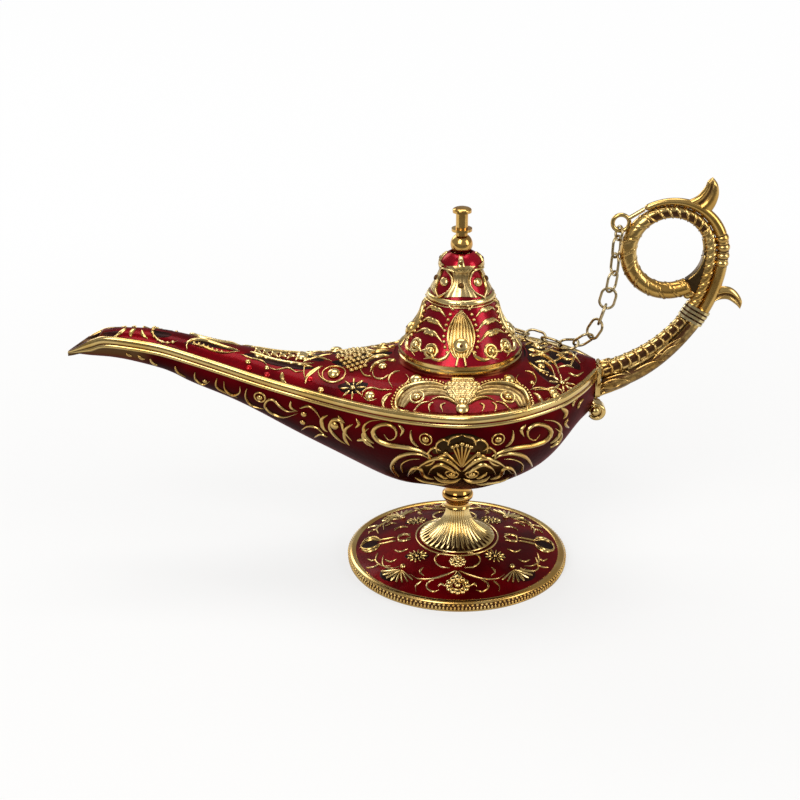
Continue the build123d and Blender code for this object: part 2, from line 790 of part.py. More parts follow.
with BuildPart() as handle_screw:
    with BuildSketch(Plane.YZ.offset(stern_reach - stern_wall)):
        with Locations((0, screw_z)):
            Circle(screw_head_radius)
    extrude(amount=-screw_head_height)
    with BuildSketch(Plane.YZ.offset(stern_reach - stern_wall)):
        with Locations((0, screw_z)):
            Circle(screw_radius)
    extrude(amount=screw_length)
handle_screw.part.label = "handle_screw"
export_step(handle_screw.part, "parts/handle_screw.step")

# Binding: wire bands round both strands where the curl begins.
band_half = max(inner_radius(binding_heading), outer_radius(binding_heading)) + binding_proud
band_reach = strand_offset(binding_heading)
binding_middle = across(binding_heading, band_reach / 2)
with BuildPart() as binding:
    for count in range(binding_count):
        along = (count - (binding_count - 1) / 2) * binding_pitch
        with BuildSketch(binding_middle.offset(along - binding_width / 2)):
            SlotCenterToCenter(band_reach, band_half * 2, rotation=90)
        extrude(amount=binding_width)
    add(handle_inner.part, mode=Mode.SUBTRACT)
    add(handle_outer.part, mode=Mode.SUBTRACT)
binding.part.label = "handle_binding"
export_step(binding.part, "parts/handle_binding.step")


def leaf_outline(lean):
    """Horn-shaped leaf that leans forward or back along its strand."""
    curves = []
    for shares in (leaf_front_shares, leaf_nose_shares, leaf_back_shares):
        curves.append([(lean * across_share * leaf_width, along_share * leaf_length)
                       for across_share, along_share in shares])
    with BuildSketch() as outline:
        with BuildLine():
            for points in curves:
                ThreePointArc(*points)
            Polyline(
                curves[-1][-1],
                (curves[-1][-1][0], -leaf_sink),
                (curves[0][0][0], -leaf_sink),
                curves[0][0])
        make_face()
    return outline.sketch


for name, heading, lean in (
        ("handle_top_leaf", top_leaf_heading, 1), ("handle_side_leaf", side_leaf_heading, -1)):
    base = beside(heading, strand_offset(heading) + outer_radius(heading))
    leaf_plane = Plane(origin=base, x_dir=(cos(radians(heading)), 0, sin(radians(heading))), z_dir=(0, 1, 0))
    with BuildPart() as leaf:
        with BuildSketch(leaf_plane):
            add(leaf_outline(lean))
        extrude(amount=leaf_thickness / 2, both=True)
        add(handle_outer.part, mode=Mode.SUBTRACT)
    leaf.part.label = name
    export_step(leaf.part, f"parts/{name}.step")

# Bead in the corner between the curl's end and the inner strand.
with BuildPart() as bead:
    with Locations(beside(bead_heading, bead_sink - inner_radius(bead_heading) - bead_radius)):
        Sphere(bead_radius)
    add(handle_inner.part, mode=Mode.SUBTRACT)
bead.part.label = "handle_bead"
export_step(bead.part, "parts/handle_bead.step")

# Scroll on the stern's lower corner.
scroll_place = Vector(stern_reach + scroll_reach, 0, stern_keel - scroll_drop)
neck_way = Vector(cos(radians(scroll_neck_angle)), 0, sin(radians(scroll_neck_angle)))
with BuildPart() as scroll:
    with BuildSketch(Plane(origin=scroll_place, z_dir=(0, 1, 0))):
        Circle(scroll_radius)
    extrude(amount=scroll_width / 2, both=True)
    fillet(scroll.edges().filter_by(GeomType.CIRCLE), scroll_edge)
    with BuildSketch(Plane(origin=scroll_place, z_dir=neck_way)):
        Circle(scroll_neck_radius)
    extrude(amount=scroll_neck_length)
    add(bowl.part, mode=Mode.SUBTRACT)
    split(bisect_by=Plane.YZ.offset(stern_reach - stern_wall / 2), keep=Keep.TOP)
scroll.part.label = "stern_scroll"
export_step(scroll.part, "parts/stern_scroll.step")

# Eye of the handle: a rod that carries on from the outer strand's end, and a ring.
tip_way = Vector(cos(radians(tip_heading)), 0, sin(radians(tip_heading)))
tip_place = Vector(*beside(tip_heading, strand_offset(tip_heading)))
eye_place = tip_place + tip_way * (eye_rod_length + eye_radius)
with BuildPart() as eye:
    with Locations(Plane(origin=eye_place, z_dir=(0, 1, 0))):
        Torus(eye_radius, eye_wire)
    with BuildSketch(Plane(origin=tip_place, z_dir=tip_way)):
        Circle(eye_rod_radius)
    extrude(amount=eye_rod_length)
    add(handle_inner.part, mode=Mode.SUBTRACT)
eye.part.label = "handle_eye"
export_step(eye.part, "parts/handle_eye.step")

# Chain: a jump ring on the handle's eye, then oval links down to the lid's eye. It
# hangs in one upright plane, and both of its ends meet the eyes with a little play.
chain_start = eye_place - Vector(0, 0, eye_radius - (eye_wire + jump_wire + link_play) / 2)
wire_place = eye_way * (lid_eye_centre + lid_eye_radius) + Vector(0, 0, lid_eye_z)
level = (wire_place - chain_start).project_to_plane(Plane.XY).normalized()
chain_end = wire_place + level * ((lid_eye_wire + link_wire + link_play) / 2)
span = (chain_end - chain_start).dot(level)
fall = chain_end.Z - chain_start.Z

link_middle = (link_length - link_wire * 2) / 2
link_reach = link_middle - link_wire - link_play / 2
jump_reach = (jump_radius - (eye_wire + jump_wire + link_play) / 2,
              jump_radius - (jump_wire + link_wire + link_play) / 2)
first_reach = link_middle - (jump_wire + link_wire + link_play) / 2
last_reach = link_middle - (lid_eye_wire + link_wire + link_play) / 2
reaches = [jump_reach, (first_reach, link_reach)]
reaches += [(link_reach, link_reach)] * (len(hanging_tilts) + len(lying_tilts) - 2)
reaches.append((link_reach, last_reach))


def run_of(tilts, lengths):
    """Level and upright distance that a row of links covers."""
    level_run = sum(length * cos(radians(tilt)) for tilt, length in zip(tilts, lengths))
    upright_run = sum(length * sin(radians(tilt)) for tilt, length in zip(tilts, lengths))
    return level_run, upright_run


# The hanging links and the lying ones turn as two groups, until the ends meet.
lengths = [near + far for near, far in reaches]
hanging = [jump_tilt] + hanging_tilts
hang_level, hang_fall = run_of(hanging, lengths)
lie_level, lie_fall = run_of(lying_tilts, lengths[len(hanging):])
reach = hypot(span, fall)
hang = hypot(hang_level, hang_fall)
lie = hypot(lie_level, lie_fall)
corner = atan2(
    ((reach + hang + lie) * (hang + lie - reach) * (reach + hang - lie) * (reach - hang + lie)) ** 0.5,
    reach ** 2 + hang ** 2 - lie ** 2)
hang_heading = atan2(fall, span) - corner
lie_heading = atan2(fall - hang * sin(hang_heading), span - hang * cos(hang_heading))
hang_turn = degrees(hang_heading - atan2(hang_fall, hang_level))
lie_turn = degrees(lie_heading - atan2(lie_fall, lie_level))
tilts = [tilt + hang_turn for tilt in hanging] + [tilt + lie_turn for tilt in lying_tilts]

side_way = level.rotate(Axis.Z, 90)
corner_radius = link_width / 2 - link_wire
half_straight = link_middle - corner_radius
place = chain_start
names = ["jump_ring"] + [f"chain_link_{count:02d}" for count in range(1, len(link_rolls) + 1)]
for name, tilt, roll, (near, far) in zip(names, tilts, [jump_roll] + link_rolls, reaches):
    way = level * cos(radians(tilt)) + Vector(0, 0, sin(radians(tilt)))
    flat_way = side_way * cos(radians(roll)) + way.cross(side_way) * sin(radians(roll))
    middle = Plane(origin=place + way * near, x_dir=way, z_dir=flat_way)
    with BuildPart() as link:
        if name == "jump_ring":
            with Locations(middle):
                Torus(jump_radius, jump_wire)
        else:
            with BuildLine(middle) as wire_line:
                Line((-half_straight, corner_radius), (half_straight, corner_radius))
                ThreePointArc(
                    (half_straight, corner_radius), (link_middle, 0), (half_straight, -corner_radius))
                Line((half_straight, -corner_radius), (-half_straight, -corner_radius))
                ThreePointArc(
                    (-half_straight, -corner_radius), (-link_middle, 0), (-half_straight, corner_radius))
            with BuildSketch(Plane(origin=wire_line.wire() @ 0, z_dir=wire_line.wire() % 0)):
                Circle(link_wire)
            sweep(path=wire_line.wire())
    link.part.label = name
    export_step(link.part, f"parts/{name}.step")
    place = place + way * (near + far)
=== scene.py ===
from math import atan2, cos, pi, radians, sin

import bmesh
import bpy
from mathutils import Matrix, Vector
from mathutils.bvhtree import BVHTree


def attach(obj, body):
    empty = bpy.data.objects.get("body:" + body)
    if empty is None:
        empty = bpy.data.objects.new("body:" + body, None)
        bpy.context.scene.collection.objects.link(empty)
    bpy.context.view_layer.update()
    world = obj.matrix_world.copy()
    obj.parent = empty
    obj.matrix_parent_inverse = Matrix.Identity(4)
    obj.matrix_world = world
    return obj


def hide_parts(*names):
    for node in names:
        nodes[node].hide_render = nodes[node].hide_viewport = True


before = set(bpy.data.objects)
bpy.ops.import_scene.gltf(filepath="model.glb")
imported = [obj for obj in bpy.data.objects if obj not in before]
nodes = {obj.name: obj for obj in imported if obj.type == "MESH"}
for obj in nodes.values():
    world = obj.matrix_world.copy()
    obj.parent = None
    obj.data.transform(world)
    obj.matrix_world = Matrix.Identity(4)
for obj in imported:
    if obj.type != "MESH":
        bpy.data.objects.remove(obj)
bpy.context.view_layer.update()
mm = 0.001


def addObject(name, data, place=(0, 0, 0), turn=(0, 0, 0)):
    item = bpy.data.objects.new(name, data)
    item.location, item.rotation_euler = place, turn
    bpy.context.scene.collection.objects.link(item)
    return item


# Camera, at the photograph's angle
camera = {"place": (-0.0187, -0.45947, 0.25333), "tilt": 66.772, "lens": 71.14, "sensor": 36, "picture": 800}
cameraTilt = radians(camera["tilt"])
cameraData = bpy.data.cameras.new("photoCamera")
cameraData.lens, cameraData.sensor_width = camera["lens"], camera["sensor"]
bpy.context.scene.camera = addObject("photoCamera", cameraData, camera["place"], (cameraTilt, 0, 0))
eyePoint = Vector(camera["place"])
eyeTurn = Matrix.Rotation(cameraTilt, 3, "X")
focalPixels = camera["lens"] / camera["sensor"] * camera["picture"]
middlePixel = camera["picture"] / 2


def sightLines(numbers):
    # Ways from the camera through picture places, across and down in turn
    for across, down in zip(numbers[::2], numbers[1::2]):
        way = Vector(((across - middlePixel) / focalPixels, (middlePixel - down) / focalPixels, -1))
        yield (eyeTurn @ way).normalized()


# Shader nodes; entries are values or other nodes' outputs, by the socket's name or number
def feed(tree, node, entries):
    for title, value in dict(entries).items():
        if isinstance(value, bpy.types.NodeSocket):
            tree.links.new(value, node.inputs[title])
        else:
            node.inputs[title].default_value = value


def addNode(tree, kind, entries=(), **traits):
    node = tree.nodes.new("ShaderNode" + kind)
    for trait, value in traits.items():
        setattr(node, trait, value)
    feed(tree, node, entries)
    return node.outputs


def mathNode(tree, operation, *entries):
    return addNode(tree, "Math", dict(enumerate(entries)), operation=operation)[0]


def smoothRange(tree, source, low, high, first=0.0, last=1.0):
    entries = {"Value": source, "From Min": low, "From Max": high, "To Min": first, "To Max": last}
    return addNode(tree, "MapRange", entries, interpolation_type="SMOOTHSTEP")[0]


def mixColor(tree, factor, first, second):
    # Colours are given as red, green and blue
    first, second = ((*color, 1) if isinstance(color, tuple) else color for color in (first, second))
    return addNode(tree, "Mix", {"Factor": factor, "A": first, "B": second}, data_type="RGBA")["Result"]


def newMaterial(name):
    material = bpy.data.materials.new(name)
    material.use_nodes = True
    return material, material.node_tree, material.node_tree.nodes["Principled BSDF"]


# Meshes
def closeMesh(shape, name, material):
    data = bpy.data.meshes.new(name)
    shape.to_mesh(data)
    shape.free()
    data.materials.append(material)
    return data


def newShape():
    # Mesh with a value per vertex: how high it stands in the relief
    shape = bmesh.new()
    return shape, shape.verts.layers.float.new("relief")


def closeSeams(shape, reach):
    bmesh.ops.remove_doubles(shape, verts=shape.verts, dist=reach)
    bmesh.ops.recalc_face_normals(shape, faces=shape.faces)


def addSphere(shape, relief, seat, radius, segments, rings, tone):
    for vert in bmesh.ops.create_uvsphere(shape, u_segments=segments, v_segments=rings, radius=radius,
                                          matrix=seat)["verts"]:
        vert[relief] = tone


def addCopy(shape, transform):
    # Turned or mirrored copy of everything made so far
    again = bmesh.ops.duplicate(shape, geom=shape.verts[:] + shape.edges[:] + shape.faces[:])["geom"]
    verts = [item for item in again if isinstance(item, bmesh.types.BMVert)]
    bmesh.ops.transform(shape, matrix=transform, verts=verts)
    if transform.determinant() < 0:
        bmesh.ops.reverse_faces(shape, faces=[item for item in again if isinstance(item, bmesh.types.BMFace)])


# Floor: white paper that ends in front of the picture, where a plain studio floor goes on
floor = {
    "size": 40.0, "paper": (0.9, 0.895, 0.88), "studio": (0.16, 0.155, 0.15), "roughness": 0.9,
    "paperEdge": -0.2, "paperFull": -0.13, "studioShare": 0.96,
    # white that the camera sees, near the lamp and far from it
    "whiteReach": (0.08, 0.45), "whiteShare": (0.66, 0.985)}
floorMaterial, tree, shader = newMaterial("floorPaper")
rays = addNode(tree, "LightPath")
place = addNode(tree, "TexCoord")["Object"]
reach = addNode(tree, "VectorMath", {0: place}, operation="LENGTH")["Value"]
depth = (addNode(tree, "SeparateXYZ", {0: place})["Y"], floor["paperEdge"], floor["paperFull"])
paperHere = smoothRange(tree, *depth)
whiteShare = smoothRange(tree, reach, *floor["whiteReach"], *floor["whiteShare"])
seenShare = mathNode(tree, "MAXIMUM", whiteShare, smoothRange(tree, *depth, floor["studioShare"], 0.0))
seenWhite = mathNode(tree, "MULTIPLY", rays["Is Camera Ray"], seenShare)
mirrored = mathNode(tree, "MAXIMUM", rays["Is Glossy Ray"], rays["Is Transmission Ray"])
mirrorWhite = mathNode(tree, "MULTIPLY", mathNode(tree, "MULTIPLY", mirrored, paperHere), whiteShare)
floorColor = mixColor(tree, paperHere, floor["studio"], floor["paper"])
feed(tree, shader, {"Base Color": floorColor, "Roughness": floor["roughness"]})
floorBlend = addNode(tree, "MixShader", {
    0: mathNode(tree, "MAXIMUM", seenWhite, mirrorWhite), 1: shader.outputs[0],
    2: addNode(tree, "Emission", {"Strength": 1.0})[0]})
feed(tree, tree.nodes["Material Output"], {"Surface": floorBlend[0]})

shape = bmesh.new()
bmesh.ops.create_grid(shape, x_segments=2, y_segments=2, size=floor["size"] / 2)
addObject("studioFloor", closeMesh(shape, "studioFloor", floorMaterial))

# World and lamps
sky = {"color": (1, 1, 1, 1), "strength": 0.30}
world = bpy.data.worlds.new("studioWorld")
bpy.context.scene.world = world
world.use_nodes = True
tree = world.node_tree
skyLevel = mathNode(tree, "MAXIMUM", addNode(tree, "LightPath")["Is Camera Ray"], sky["strength"])
feed(tree, tree.nodes["Background"], {"Color": sky["color"], "Strength": skyLevel})

lampTable = [
    # name, place, target, size, power, colour
    ("keySoftbox", (-0.35, -0.75, 0.75), (0, 0, 0.06), (0.5, 0.7), 5.4, (1, 0.98, 0.95)),
    ("fillSoftbox", (0.75, -0.35, 0.40), (0, 0, 0.06), (0.35, 0.6), 2.4, (1, 0.99, 0.97)),
    ("topSoftbox", (0.0, 0.20, 0.95), (0, 0, 0.05), (0.7, 0.4), 3.0, (1, 1, 1)),
    ("backSoftbox", (-0.55, 0.70, 0.50), (0, 0, 0.06), (0.4, 0.5), 2.0, (1, 1, 1)),
]
for name, place, target, size, power, color in lampTable:
    lamp = bpy.data.lights.new(name, "AREA")
    lamp.shape = "RECTANGLE"
    lamp.size, lamp.size_y = size
    lamp.energy, lamp.color = power, color
    addObject(name, lamp, place, (Vector(target) - Vector(place)).to_track_quat("-Z", "Y").to_euler())
bpy.context.scene.view_settings.view_transform = "Standard"
print("stage and lamps made")


# Shader groups that several finishes share
def newGroup(name, entries, *results):
    group = bpy.data.node_groups.new(name, "ShaderNodeTree")
    for title, value in entries.items():
        group.interface.new_socket(title, in_out="INPUT", socket_type="NodeSocketFloat").default_value = value
    for title in results:
        group.interface.new_socket(title, in_out="OUTPUT", socket_type="NodeSocketFloat")
    return group, group.nodes.new("NodeGroupInput").outputs, group.nodes.new("NodeGroupOutput")


def useGroup(tree, group, **values):
    node = tree.nodes.new("ShaderNodeGroup")
    node.node_tree = group
    feed(tree, node, values)
    return node.outputs


def fadeGroup(name, result, kind, output, axis, low, high):
    # Mask that goes from 0 to 1 along one axis of a place or a normal
    group, entries, results = newGroup(name, {"Low": low, "High": high}, result)
    part = addNode(group, "SeparateXYZ", {0: addNode(group, kind)[output]})[axis]
    feed(group, results, {result: smoothRange(group, part, entries["Low"], entries["High"])})
    return group


# Painted shade on what faces down, and bare dark bronze at the spout's end
underGroup = fadeGroup("underShade", "Unshaded", "NewGeometry", "Normal", "Z", -0.8, 0.35)
bareGroup = fadeGroup("spoutEnd", "Coated", "TexCoord", "Object", "X", -0.104, -0.092)

# Cloudy tone: slow changes of colour, and a fine grain
cloudValues = {"Scale": 120.0, "Low": 0.35, "High": 0.65}
toneGroup, entries, results = newGroup("cloudyTone", cloudValues, "Mask", "Fine")
place = addNode(toneGroup, "TexCoord")["Object"]
clouds = addNode(toneGroup, "TexNoise", {"Vector": place, "Scale": entries["Scale"], "Detail": 4.0})["Fac"]
fineScale = mathNode(toneGroup, "MULTIPLY", entries["Scale"], 9.0)
grain = addNode(toneGroup, "TexNoise", {"Vector": place, "Scale": fineScale, "Detail": 3.0})["Fac"]
mask = smoothRange(toneGroup, clouds, entries["Low"], entries["High"])
feed(toneGroup, results, {"Mask": mask, "Fine": grain})

# Old polish: dark patina and painted shade low in the relief, bright metal on its crest
reliefGroup, entries, results = newGroup("reliefPatinaShade", {"Low": 0.05, "High": 0.5, "Uneven": 0.2}, "Bright")
place = addNode(reliefGroup, "TexCoord")["Object"]
patches = addNode(reliefGroup, "TexNoise", {"Vector": place, "Scale": 700.0})["Fac"]
swing = mathNode(reliefGroup, "MULTIPLY", mathNode(reliefGroup, "SUBTRACT", patches, 0.5), entries["Uneven"])
worn = mathNode(reliefGroup, "ADD", addNode(reliefGroup, "Attribute", attribute_name="relief")["Fac"], swing)
feed(reliefGroup, results, {"Bright": smoothRange(reliefGroup, worn, entries["Low"], entries["High"])})

finishes = {}


def makeFinish(name, toneValues, bump, rough, grain, socketsOf):
    # Grain in gloss and bump; the rest of the sockets come from socketsOf
    finishes[name], tree, shader = newMaterial(name)
    tone = useGroup(tree, toneGroup, **toneValues)
    roughness = mathNode(tree, "MULTIPLY_ADD", tone["Fine"], grain, rough - grain / 2)
    normal = addNode(tree, "Bump", {"Height": tone["Fine"], "Strength": bump[0], "Distance": bump[1]})[0]
    feed(tree, shader, {"Normal": normal, "Roughness": roughness, **socketsOf(tree, tone["Mask"], roughness)})


goldFinishes = {
    # name: bright colour, warm colour, roughness; and for worn relief its colour of patina and painted shade,
    # low, high, uneven
    "polishedGold": ((0.82, 0.6, 0.25), (0.66, 0.43, 0.13), 0.17),
    "warmGold": ((0.84, 0.54, 0.17), (0.62, 0.31, 0.07), 0.16),
    "paleWire": ((0.64, 0.52, 0.3), (0.44, 0.33, 0.16), 0.26),
    "paleSilver": ((0.95, 0.8, 0.48), (0.85, 0.66, 0.32), 0.2),
    "darkBronze": ((0.24, 0.15, 0.06), (0.12, 0.07, 0.03), 0.26),
    "reliefGold": ((0.8, 0.57, 0.22), (0.62, 0.36, 0.1), 0.2, (0.06, 0.024, 0.008), 0.05, 0.5, 0.35),
    "antiqueGold": ((0.82, 0.58, 0.22), (0.66, 0.38, 0.095), 0.22, (0.07, 0.026, 0.007), 0.12, 0.62, 0.5),
    "silverGold": ((0.92, 0.7, 0.32), (0.78, 0.52, 0.17), 0.19, (0.13, 0.055, 0.012), 0.1, 0.62, 0.4),
}
gold = {"tone": {"Scale": 90.0}, "bump": (0.1, 0.00012), "grain": 0.16, "shade": (0.34, 0.34, 0.26),
        "patinaMetal": 0.8, "patinaRoughness": 0.3}


def makeGold(name):
    bright, warm, rough, *patinaShade = goldFinishes[name]
    shade = tuple(part * share for part, share in zip(warm, gold["shade"]))

    def goldSockets(tree, mask, roughness):
        # Painted shade: faces that point down turn to a darker copy of the warm colour
        unshaded = useGroup(tree, underGroup)["Unshaded"]
        color = mixColor(tree, unshaded, shade, mixColor(tree, mask, bright, warm))
        if not patinaShade:
            return {"Base Color": color, "Metallic": 1.0}
        dark, low, high, uneven = patinaShade
        metal, dull = gold["patinaMetal"], gold["patinaRoughness"]
        # Patina and painted shade: low relief turns to the dark colour
        crest = useGroup(tree, reliefGroup, Low=low, High=high, Uneven=uneven)["Bright"]
        dulled = mathNode(tree, "ADD", roughness, mathNode(tree, "MULTIPLY_ADD", crest, -dull, dull))
        return {"Base Color": mixColor(tree, crest, dark, color), "Roughness": dulled,
                "Metallic": mathNode(tree, "MULTIPLY_ADD", crest, 1 - metal, metal)}

    makeFinish(name, gold["tone"], gold["bump"], rough, gold["grain"], goldSockets)


enamelFinishes = {
    # name: bright colour, deep colour, painted shade colour on down-facing sides, roughness, coat, metallic
    "redEnamel": ((0.15, 0.001, 0.004), (0.055, 0.0006, 0.002), (0.018, 0.0004, 0.001), 0.34, 0.0, 0.8),
    "deckEnamel": ((0.2, 0.0014, 0.005), (0.08, 0.0008, 0.003), (0.03, 0.0005, 0.001), 0.34, 0.1, 0.55),
    "footEnamel": ((0.25, 0.0016, 0.005), (0.085, 0.0008, 0.002), (0.02, 0.0004, 0.001), 0.34, 0.08, 0.55),
    "lidEnamel": ((0.42, 0.006, 0.022), (0.2, 0.003, 0.01), (0.08, 0.001, 0.004), 0.27, 0.2, 0.6),
    "gemRed": ((0.55, 0.004, 0.01), (0.4, 0.003, 0.006), (0.15, 0.002, 0.003), 0.14, 0.4, 0.4),
    "darkGround": ((0.085, 0.04, 0.012), (0.018, 0.01, 0.005), (0.04, 0.02, 0.006), 0.3, 0.0, 0.9),
    "blackGround": ((0.012, 0.004, 0.004), (0.04, 0.009, 0.008), (0.006, 0.003, 0.003), 0.34, 0.05, 0.6),
}
enamel = {
    "tone": {"Scale": 70.0, "Low": 0.32, "High": 0.68}, "bump": (0.22, 0.0003), "grain": 0.2,
    "under": {"Low": -0.75, "High": 0.25}, "bare": (0.085, 0.045, 0.018), "hullBareEnd": -0.094,
    "bareEnd": -0.108, "bareRun": 0.007, "specular": 0.25, "redTint": (0.45, 0.04, 0.05, 1),
    "groundTint": (0.3, 0.25, 0.2, 1), "coatRoughness": 0.08}


def makeEnamel(name):
    bright, deep, shadeColor, rough, coat, metal = enamelFinishes[name]
    bareEnd = enamel["hullBareEnd" if name == "redEnamel" else "bareEnd"]

    def enamelSockets(tree, mask, roughness):
        # Painted shade: down-facing sides turn to the shade colour
        unshaded = useGroup(tree, underGroup, **enamel["under"])["Unshaded"]
        coated = useGroup(tree, bareGroup, Low=bareEnd - enamel["bareRun"], High=bareEnd)["Coated"]
        color = mixColor(tree, unshaded, shadeColor, mixColor(tree, mask, bright, deep))
        return {"Base Color": mixColor(tree, coated, enamel["bare"], color), "Metallic": metal,
                "Specular IOR Level": enamel["specular"],
                "Specular Tint": enamel["groundTint" if "Ground" in name else "redTint"],
                "Coat Weight": coat, "Coat Roughness": enamel["coatRoughness"]}

    makeFinish(name, enamel["tone"], enamel["bump"], rough, enamel["grain"], enamelSockets)


plainFinishes = {
    # name: colours, roughness, metallic, pattern scale, bump strength
    "feltPad": ((0.020, 0.018, 0.018), (0.045, 0.040, 0.038), 0.95, 0.0, 900.0, 0.6),
    "screwSteel": ((0.46, 0.46, 0.47), (0.34, 0.34, 0.35), 0.34, 1.0, 240.0, 0.1),
}
plain = {"bumpDepth": 0.0002, "grain": 0.2}


def makePlain(name):
    first, second, rough, metal, scale, strength = plainFinishes[name]

    def plainSockets(tree, mask, roughness):
        return {"Base Color": mixColor(tree, mask, first, second), "Metallic": metal}

    makeFinish(name, {"Scale": scale}, (strength, plain["bumpDepth"]), rough, plain["grain"], plainSockets)


for table, maker in ((goldFinishes, makeGold), (enamelFinishes, makeEnamel), (plainFinishes, makePlain)):
    for name in table:
        maker(name)

nodeFinishes = {
    "foot_plate": "footEnamel", "foot_pad": "feltPad", "bowl": "redEnamel", "deck": "deckEnamel",
    "lid_cone": "lidEnamel", "tie_screw": "screwSteel", "tie_washer": "screwSteel", "tie_nut": "screwSteel",
    "handle_screw": "screwSteel", "finial_nut": "screwSteel", "finial": "warmGold", "stem_knop": "warmGold",
    "jump_ring": "paleWire", "handle_binding": "paleSilver", "handle_web": "darkBronze",
}
for node in nodes:
    usual = "paleWire" if node.startswith("chain_link") else "polishedGold"
    nodes[node].data.materials.clear()
    nodes[node].data.materials.append(finishes[nodeFinishes.get(node, usual)])
print("finishes made")


def finishPiece(shape, name, finish, body="lamp", replaced=()):
    for face in shape.faces:
        face.smooth = True
    piece = addObject(name, closeMesh(shape, name, finishes[finish]))
    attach(piece, body)
    if replaced:
        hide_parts(*replaced)
    print("made", name, len(piece.data.polygons))


def polar(radius, degrees, height):
    return Vector((radius * cos(radians(degrees)), radius * sin(radians(degrees)), height)) * mm


def smoothLine(points, steps):
    # Smooth curve through the points, closed where the last is the first
    closed = (points[0] - points[-1]).length < 1e-7
    line = []
    spans = len(points) - 1
    for step in range(steps + 1):
        place = step / steps * spans
        index = min(int(place), spans - 1)
        share = place - index
        a = points[index - 1] if index > 0 else points[-2 if closed else 0]
        b, c = points[index], points[index + 1]
        d = points[index + 2] if index + 2 <= spans else points[1 if closed else -1]
        line.append(0.5 * (2 * b + (c - a) * share + (2 * a - 5 * b + 4 * c - d) * share ** 2
                           + (3 * b - a - 3 * c + d) * share ** 3))
    return line


def valueAt(values, place):
    index = min(int(place), len(values) - 2)
    return values[index] + (values[index + 1] - values[index]) * (place - index)


# Raised work: tables give places in the 800 by 800 picture, across and down in turn, and sizes in millimetres
tapers = {"round": (0.12, 0.75, 1.0, 1.0, 0.75, 0.12), "tail": (0.25, 0.85, 1.0, 0.85, 0.6, 0.35, 0.1),
          "leaf": (0.06, 0.55, 0.9, 1.0, 0.85, 0.5, 0.06), "even": (1.0, 1.0),
          "wing": (0.2, 0.62, 0.9, 1.0, 1.0, 0.9, 0.5)}
raised = {"sink": 0.12 * mm, "fullHeight": 1.6, "tipTone": 0.4, "ballTone": 0.75}
mirrorBack = Matrix.Diagonal((1, -1, 1, 1))


def bothSides(numbers, middle):
    # A row of places and, where a middle is given, its mirror image
    if middle is None:
        return [numbers]
    flipped = list(numbers)
    flipped[::2] = [2 * middle - across for across in numbers[::2]]
    return [numbers, flipped]


